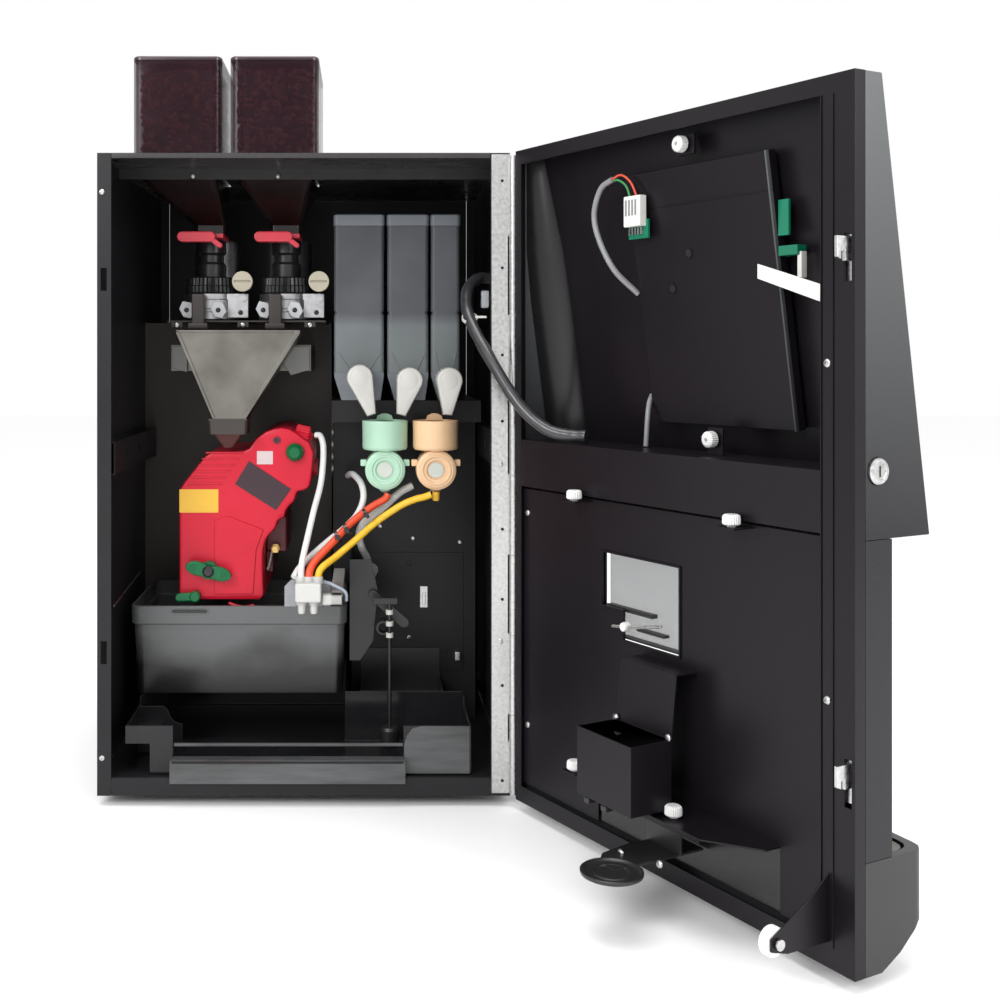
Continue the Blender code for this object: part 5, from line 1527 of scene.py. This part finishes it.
# Painted reflections: horizontal light grey streaks in the base colour of the tray's front stand in for the
# gloss's highlights.
painted_reflection_streak = front_gloss.noise(0.03, 3, (0.3, 1, 2.5))
front_gloss.set("Base Color", front_gloss.mix(painted_reflection_streak, (0.008, 0.008, 0.009), (0.125, 0.13, 0.132)))
front_gloss.set("Roughness", 0.1 + painted_reflection_streak * 0.12)
body = from_cad("waste_tray", 0.0011)
body.transform(in_cabinet.inverted())
step = block((-0.15, 0.0125, 0.052), (0.114, 0.016, 0.056), 0.0012)
lip = plate(
    [
        [
            (-0.0045, 0.015), (-0.005, 0.037), (-0.003, 0.04), (0.0, 0.041), (0.0128, 0.041),
            (0.0128, 0.038), (-0.001, 0.038), (-0.0018, 0.015),
        ],
    ],
    "X", -0.152, 0.116, 0.0006,
)
ear_left = plate(
    [
        [
            (-0.205, 0.022), (-0.15, 0.022), (-0.15, 0.056), (-0.16, 0.059), (-0.165, 0.065),
            (-0.168, 0.074), (-0.174, 0.078), (-0.205, 0.078),
        ],
    ],
    "Y", 0.086, 0.089, 0.0008,
)
ear_right = plate(
    [
        [
            (0.114, 0.022), (0.19, 0.022), (0.19, 0.0768), (0.134, 0.0768), (0.124, 0.074), (0.118, 0.066),
            (0.115, 0.056),
        ],
    ],
    "Y", 0.0086, 0.0114, 0.0008,
)
ridge = block((-0.144, 0.009, 0.0245), (0.108, 0.0108, 0.034), 0.0008)
shapes = [(mesh, tray_gloss) for mesh in (body, ear_left, ridge)]
shapes += [(mesh, front_gloss) for mesh in (step, lip, ear_right)]
piece("tray_moulding", shapes, in_cabinet, "waste_tray", "gloss_black", "waste_tray")


# The float. A round moulded float in the tray with a thin rod, guided by white clips, that lifts the
# switch lever when the tray is full.
FLOAT_PLACE = Vector((0.1, 0.1, 0))
x, y = FLOAT_PLACE.xy
bob = turned(
    (
        (0, 0.03), (0.009, 0.03), (0.0115, 0.032), (0.012, 0.035), (0.012, 0.046), (0.01, 0.0495),
        (0.003, 0.05), (0, 0.05),
    ),
    centre=FLOAT_PLACE, sides=40,
)
rod = turned(((0, 0.049), (0.0022, 0.049), (0.0022, 0.2), (0, 0.201)), centre=FLOAT_PLACE, sides=16)
paddle = block((x - 0.02, y - 0.002, 0.198), (x + 0.01, y + 0.002, 0.206), 0.0012)
clips = [
    turned(sleeve(0.0022, 0.0046, z, z + 0.0055), centre=FLOAT_PLACE, sides=24)
    for z in (0.158, 0.172, 0.186)
]
shapes = [(mesh, black_moulded) for mesh in (bob, rod, paddle)] + [(mesh, spout_white) for mesh in clips]
piece("float_stem", shapes, in_cabinet, "float_rod", "black_plastic", "float_rod")


# The door's frame and inner sheets. Folded steel like the cabinet: the frame with latch slots and the
# roller's arm, the lower inner sheet with window and ledge, the cross channel with its shelf.
door_coat = powder_coat("door_coat", (0.007, 0.0055, 0.0075), 0.36)
for sheet, node, edge in (
    ("door_shell", "door_frame", 0.0007),
    ("door_inner_sheet", "inner_panel", 0.0005),
    ("door_channel", "cross_channel", 0.0005),
    ("outlet_guide_box", "outlet_guide", 0.0005),
):
    piece(sheet, [(from_cad(node, edge), door_coat)], STILL, "door", "black_steel", node)
strips = [block((u, -0.0012, 0.018), (u + 0.0012, 0.001, 0.716), 0.0004) for u in (0.4386, 0.4508)]
window_rim = plate(
    [
        [(0.15, 0.244), (0.15, 0.302), (0.268, 0.302), (0.268, 0.214), (0.184, 0.214), (0.184, 0.244)],
        [(0.152, 0.246), (0.152, 0.3), (0.266, 0.3), (0.266, 0.216), (0.186, 0.216), (0.186, 0.246)],
    ],
    "Y", 0.003, 0.0052, 0.0004,
)
ledge_lip = [
    block((0.145, -0.0122, 0.0745), (0.1462, 0.005, 0.0795), 0.0003),
    block((0.19, -0.0455, 0.0745), (0.345, -0.0443, 0.0795), 0.0003),
]
shapes = [(mesh, door_coat) for mesh in (*strips, window_rim, *ledge_lip)]
piece("door_folds", shapes, in_door, "door", "black_steel")


# The upper cover. A sloping semi-gloss charcoal shell outside the frame, with a softly rounded inner
# corner on the hinge side that catches the light.
cover_coat = powder_coat("cover_coat", (0.03, 0.03, 0.033), 0.34)
# Painted light: the covers' base colour runs from near black at 0.36 m to a lighter grey at the top,
# standing in for light on their sides.
height = cover_coat.axis("Z")
painted_light_fade = ((height - 0.36) * 2.4).clamped()
cover_coat.set("Base Color", cover_coat.mix(painted_light_fade, (0.018, 0.0175, 0.02), (0.12, 0.126, 0.128)))
inner_satin = Finish("inner_satin", (0.008, 0.0075, 0.0085), 0.28, specular_ior_level=0.42)
satin_cloud = inner_satin.noise(0.05, 3)
inner_satin.set("Roughness", 0.24 + satin_cloud * 0.08)


COVER_TOP = 0.732
COVER_TOP_DEPTH = 0.032
SLOPE_GROWTH = 0.058
SLOPE_HEIGHT = 0.38
SLOPE_ANGLE = math.atan(SLOPE_GROWTH / SLOPE_HEIGHT)


def slope_depth(z):
    """How far the upper cover's outer face stands from the door's plane at a height."""
    return COVER_TOP_DEPTH + SLOPE_GROWTH * (COVER_TOP - z) / SLOPE_HEIGHT


piece(
    "upper_shell", [(from_cad("upper_cover", 0.001), cover_coat)], STILL, "door", "black_steel",
    "upper_cover",
)
corner = []
for z in (0.4075, 0.44, 0.5, 0.56, 0.62, 0.68, 0.728):
    reach = slope_depth(z) - 0.003
    radius = min(0.036, reach - 0.013)
    arc_points = [
        (
            0.0078 + radius * (1 - math.cos(math.radians(angle))),
            reach - radius * (1 - math.sin(math.radians(angle))), z,
        )
        for angle in range(0, 91, 6)
    ]
    corner.append([*arc_points, (0.0078, reach, z)])
SLOPE_FOOT = 0.415
on_slope = in_door @ Matrix.Translation((0, slope_depth(SLOPE_FOOT) + 0.0006, SLOPE_FOOT))
on_slope = on_slope @ Matrix.Rotation(SLOPE_ANGLE, 4, "X")
lining = block((0.0075, -0.0046, -0.06), (0.47, -0.0034, 0.315), 0.0003)
lining.transform(in_door.inverted() @ on_slope)
shapes = [(loft(corner), inner_satin), (lining, door_coat)]
piece("upper_lining", shapes, in_door, "door", "black_steel")


# The touch panel. A sheet of black glass bonded to the slope, a printed display window and rings for
# the selection keys, all generic.
glass = Finish("panel_glass", (0.006, 0.006, 0.007), 0.05, coat_weight=0.5)
film = glass.noise(0.09, 3)
glass.set("Roughness", 0.03 + film * 0.07)
print_grey = moulded("print_grey", (0.34, 0.35, 0.37), 0.3)
display = Finish("display_window", (0.02, 0.045, 0.075), 0.12)
glow = display.noise(0.05, 2)
display.set("Base Color", display.mix(glow, (0.012, 0.03, 0.055), (0.035, 0.075, 0.12)))
sheet = block((0.06, 0, 0), (0.417, 0.003, 0.29), 0.0012, 3)
window = block((0.15, 0.0028, 0.196), (0.327, 0.0033, 0.262), 0.0002)
ring = turned(sleeve(0.012, 0.0132, 0, 0.0004), sides=40)
keys = [(0.1 + 0.0694 * column, 0.003, 0.145 - 0.052 * row) for column in range(5) for row in range(3)]
rings = at_points(keys, ring, print_grey, (math.radians(-90), 0, 0))
shapes = [(sheet, glass), (window, display), (rings, print_grey)]
piece("touch_glass", shapes, on_slope, "door", "gloss_black", "touch_panel")


# The lower cover and cup niche. Two folded columns and a lintel, and a moulded back plate between them
# with the opening that the nozzles look through.
piece(
    "lower_shell", [(from_cad("lower_cover", 0.001), cover_coat)], STILL, "door", "black_steel",
    "lower_cover",
)
shapes = [(from_cad("niche_back", 0.0005), black_moulded)]
piece("niche_plate", shapes, STILL, "door", "black_plastic", "niche_back")
GROOVE_PITCH = 0.009
groove_feet = [(u, 0.015, 0.1 + GROOVE_PITCH * step) for u in (0.113, 0.333) for step in range(24)]
grooves = at_points(groove_feet, block((0, 0, 0), (0.027, 0.0012, 0.002), 0.0004), black_moulded)
piece("niche_grooves", [(grooves, black_moulded)], in_door, "door", "black_plastic")


# The control panel's back. A folded cover over the electronics with two cable holes, held by white
# thumbscrews; more of them hold the lower inner sheet and its ledge.
shapes = [(from_cad("control_cover", 0.0012), door_coat)]
piece("control_back", shapes, STILL, "door", "black_steel", "control_cover")
fold = Matrix.Translation((0, 0.058, 0.433)) @ Matrix.Rotation(SLOPE_ANGLE, 4, "X")
edge_strip = block((0.36, -0.003, 0.0), (0.362, 0.001, 0.254), 0.0005)
hole_rims = [
    turned(sleeve(0.004, 0.0058, -0.0008, 0.0008), "Y", (u, 0, z), 28)
    for u, z in ((0.248, 0.17), (0.22, 0.1365))
]
# Painted shade: black discs fill the cable holes inside their rims, standing in for the shaded space
# behind.
cable_hole_shades = [
    turned(rod_profile(0.004, -0.0004, 0.0008), "Y", (u, 0, z), 20)
    for u, z in ((0.248, 0.17), (0.22, 0.1365))
]
seam = block((0.169, -0.0012, 0.218), (0.362, 0.0004, 0.219), 0.0003)
for mesh in (edge_strip, *hole_rims, *cable_hole_shades, seam):
    mesh.transform(fold)
shapes = [(edge_strip, cover_coat), (seam, door_coat)] + [(rim, door_coat) for rim in hole_rims]
shapes += [(shade_disc, tooth_black) for shade_disc in cable_hole_shades]
piece("control_details", shapes, in_door, "door", "black_steel")
thumb_white = moulded("thumb_white", (0.72, 0.72, 0.71), 0.3)
thumb = turned(
    (
        (0, 0.0115), (0.0058, 0.0113), (0.0076, 0.01), (0.008, 0.008), (0.008, 0.003), (0.007, 0.002),
        (0.004, 0.0015), (0.004, 0),
    ),
    sides=96, flutes=24, depth=0.0006,
)
dimple = turned(((0, 0.0118), (0.0018, 0.0118), (0.0022, 0.011), (0, 0.011)), sides=16)
thumb_places = [(0.2621, 0.015, 0.703), (0.28, 0.036, 0.422)]
heads = at_points(thumb_places, thumb, thumb_white, FACING_FRONT)
upright_places = [
    (0.124, -0.01, 0.35), (0.348, -0.01, 0.35), (0.118, -0.005, 0.066), (0.2958, -0.03, 0.0795),
]
upright = at_points(upright_places, thumb, thumb_white)
flanges = [
    block((u - 0.011, t - 0.008, z - 0.0015), (u + 0.011, 0.0055, z + 0.0002), 0.0005)
    for u, t, z in upright_places[:3]
]
dimples = at_points(thumb_places, dimple, zinc, FACING_FRONT)
stand_top = block((0.25, 0.015, 0.693), (0.274, 0.019, 0.713), 0.001)
stand_shelf = block((0.27, 0.036, 0.4065), (0.29, 0.0385, 0.433), 0.0008)
shapes = [
    (heads, thumb_white), (upright, thumb_white), (dimples, zinc), *[(mesh, door_coat) for mesh in flanges],
    (stand_top, door_coat), (stand_shelf, door_coat),
]
piece("thumbscrews", shapes, in_door, "door", "white_plastic")
door_screws = [
    (0.0216, 0.005, 0.3252), (0.0216, 0.005, 0.0879), (0.4455, 0.0, 0.4955), (0.4455, 0.0, 0.2192),
    (0.2705, -0.07, 0.046), (0.3069, -0.056, 0.046), (0.214, -0.029, 0.15), (0.288, -0.029, 0.15),
]
shapes = [(at_points(door_screws, pan_head, zinc, FACING_FRONT, 1.15), zinc)]
piece("door_screws", shapes, in_door, "door", "zinc")


# The control board's edges. Two green boards with white connectors peep out beside the cover: the leads
# meet one, and a white tie bar crosses the other.
board_green = moulded("board_green", (0.0, 0.16, 0.085), 0.34)
connector_white = moulded("connector_white", (0.74, 0.73, 0.69), 0.36)
near_board = block((0.176, 0.019, 0.619), (0.205, 0.0215, 0.638), 0.0004)
near_shell = block((0.177, 0.011, 0.631), (0.202, 0.02, 0.662), 0.0012)
near_pins = at_points(
    [(0.18 + 0.0044 * step, 0.016, 0.623) for step in range(5)],
    block((-0.001, 0, 0), (0.001, 0.003, 0.007), 0.0002), zinc,
)
near_rows = [
    block((0.18 + 0.0048 * step, 0.0104, 0.642), (0.1824 + 0.0048 * step, 0.0114, 0.658), 0.0003)
    for step in range(4)
]
far_board = block((0.364, 0.03, 0.608), (0.376, 0.033, 0.64), 0.0004)
far_plug = block((0.364, 0.03, 0.59), (0.386, 0.042, 0.599), 0.001)
far_white = block((0.383, 0.033, 0.57), (0.388, 0.04, 0.593), 0.0008)
bar = plate([[(0.356, 0.583), (0.356, 0.57), (0.438, 0.543), (0.438, 0.558)]], "Y", 0.013, 0.015, 0.0005)
shapes = [
    (near_board, board_green), (near_shell, connector_white), (near_pins, zinc), (far_board, board_green),
]
shapes += [(row, lead_grey) for row in near_rows]
shapes += [(far_plug, board_green), (far_white, connector_white), (bar, connector_white)]
piece("control_boards", shapes, in_door, "door", "white_plastic")


# The splash pane. A thin sheet of smoky clear acrylic behind the window, which keeps the outlets' splashes
# off the cup niche.
smoky = Finish("smoky_pane", (0.1, 0.105, 0.11), 0.3, alpha=0.45, specular_ior_level=0.3)
pane_haze = smoky.noise(0.05, 3)
smoky.set("Base Color", smoky.mix(pane_haze, (0.05, 0.055, 0.058), (0.12, 0.128, 0.132)))
smoky.set("Roughness", 0.24 + pane_haze * 0.2)
pane = plate([[(0.15, 0.214), (0.268, 0.214), (0.268, 0.302), (0.15, 0.302)]], "Y", 0.0165, 0.018, 0.0004)
sill = block((0.17, 0.007, 0.2165), (0.264, 0.016, 0.2185), 0.0005)
ledge = block((0.154, 0.008, 0.243), (0.223, 0.016, 0.247), 0.0008)
slope_piece = block((0.2, 0.008, 0.227), (0.24, 0.016, 0.23), 0.0008)
piece(
    "splash_pane", [(pane, smoky), *[(mesh, black_moulded) for mesh in (sill, ledge, slope_piece)]],
    in_door, "door", "black_plastic",
)


# The outlet guide's studs and the window's rod. White plastic rivets hold the guide; a steel rod with a
# white bush crosses the window.
stud = turned(((0, 0.0045), (0.0032, 0.0042), (0.0045, 0.0028), (0.0045, 0), (0, 0)), sides=24)
studs = at_points([(0.218, -0.029, 0.139), (0.284, -0.029, 0.139)], stud, thumb_white, FACING_FRONT)
feet_pads = [block((u, -0.076, 0.0785), (u + 0.008, -0.066, 0.0842), 0.0014) for u in (0.223, 0.248)]
bush = turned(
    ((0, -0.001), (0.0042, -0.001), (0.0048, 0.001), (0.0048, 0.006), (0, 0.006)), "Y", (0.19, 0, 0.23), 24,
)
window_rod = tube_mesh(
    [Vector(point) for point in ((0.17, 0.003, 0.227), (0.205, 0.0025, 0.232), (0.242, 0.003, 0.24))],
    0.0016, zinc, sides=12,
)
shapes = [
    (studs, thumb_white), (bush, thumb_white), (window_rod, zinc),
] + [(pad, black_moulded) for pad in feet_pads]
piece("guide_fittings", shapes, in_door, "door", "white_plastic")


# The drain spout. A paddle of moulded black plastic, hung under the ledge by a short web, that ends in a
# round dish with a rolled rim.
DISH_CENTRE = (0.3, -0.105, 0)
dish = turned(
    ((0, 0.0438), (0.0262, 0.0438), (0.0276, 0.0446), (0.028, 0.0458), (0.028, 0.0474), (0.0272, 0.048),
     (0.0258, 0.048), (0.0248, 0.047), (0.0215, 0.0452), (0, 0.0448)),
    centre=DISH_CENTRE, sides=72,
)
inner_lip = turned(
    ((0.015, 0.045), (0.016, 0.0462), (0.017, 0.0452), (0.015, 0.045)), centre=DISH_CENTRE, sides=48,
)
neck = plate(
    [[(0.258, 0.0045), (0.256, -0.05), (0.262, -0.085), (0.276, -0.1), (0.298, -0.1), (0.298, 0.0045)]],
    "Z", 0.0435, 0.046, 0.0006,
)
web = block((0.255, -0.026, 0.044), (0.301, -0.024, 0.0772), 0.0006)
shapes = [(mesh, black_moulded) for mesh in (dish, inner_lip, neck, web)]
piece("drain_paddle", shapes, in_door, "door", "black_plastic", "drain_spout")


# The drip base and its grille. A bowed moulded base curved under at the front, with a pocket under a
# slotted stainless grille that lifts out.
base_satin = moulded("base_satin", (0.024, 0.024, 0.026), 0.3, specular_ior_level=0.35)
liner = block((0.147, 0.0072, 0.0215), (0.388, 0.0084, 0.076), 0.0003)
liner.transform(in_door)
shapes = [(from_cad("drip_base", 0.0012), base_satin), (liner, tooth_black)]
piece("drip_moulding", shapes, STILL, "door", "black_plastic", "drip_base")
grille = from_cad("drip_grille", 0.0004)
piece("grille_sheet", [(grille, brushed)], STILL, "drip_grille", "steel", "drip_grille")


# The roller under the free corner. A white nylon wheel on a steel pin, in a folded black fork that
# carries the open door's weight.
ROLLER_CENTRE = (0, -0.059, 0.0335)
nylon = moulded("roller_nylon", (0.78, 0.78, 0.77), 0.38)
wheel = turned(
    (
        (0.003, 0.438), (0.0105, 0.438), (0.012, 0.439), (0.012, 0.445), (0.0105, 0.446), (0.003, 0.446),
        (0.003, 0.438),
    ),
    "X", ROLLER_CENTRE, 48,
)
hub_ring = turned(sleeve(0.0028, 0.0055, 0.4374, 0.4384), "X", ROLLER_CENTRE, 28)
piece("roller_wheel", [(wheel, nylon), (hub_ring, nylon)], in_door, "roller", "white_plastic", "roller")
axle = turned(
    ((0, 0.4362), (0.0026, 0.4362), (0.0026, 0.45), (0.0045, 0.45), (0.0045, 0.4515), (0, 0.4515)), "X",
    ROLLER_CENTRE, 20,
)
piece("roller_pin", [(axle, zinc)], in_door, "door", "zinc")


# The lock and its latch bar. A chromed cylinder with a key slot in the cover's side turns a zinc-plated
# bar with two hooks that drop behind the cabinet's flange.
LOCK_CENTRE = (0, 0.026, 0.408)
face = turned(
    (
        (0, 0.47), (0.01, 0.47), (0.011, 0.471), (0.011, 0.475), (0.01, 0.4762), (0.0072, 0.4765),
        (0.0068, 0.4758), (0, 0.4758),
    ),
    "X", LOCK_CENTRE, 48,
)
barrel = turned(rod_profile(0.0085, 0.457, 0.471), "X", LOCK_CENTRE, 32)
# Painted shade: a thin black block on the face stands for the key slot's shaded opening.
key_slot_shade = block((0.4756, 0.0252, 0.4035), (0.4762, 0.0268, 0.4125), 0.0002)
shapes = [(face, zinc), (barrel, zinc), (key_slot_shade, tooth_black)]
piece("lock_face", shapes, in_door, "lock_cylinder", "zinc", "lock_cylinder")
piece("latch_rod", [(from_cad("latch_bar", 0.0004), zinc)], STILL, "latch_bar", "zinc", "latch_bar")
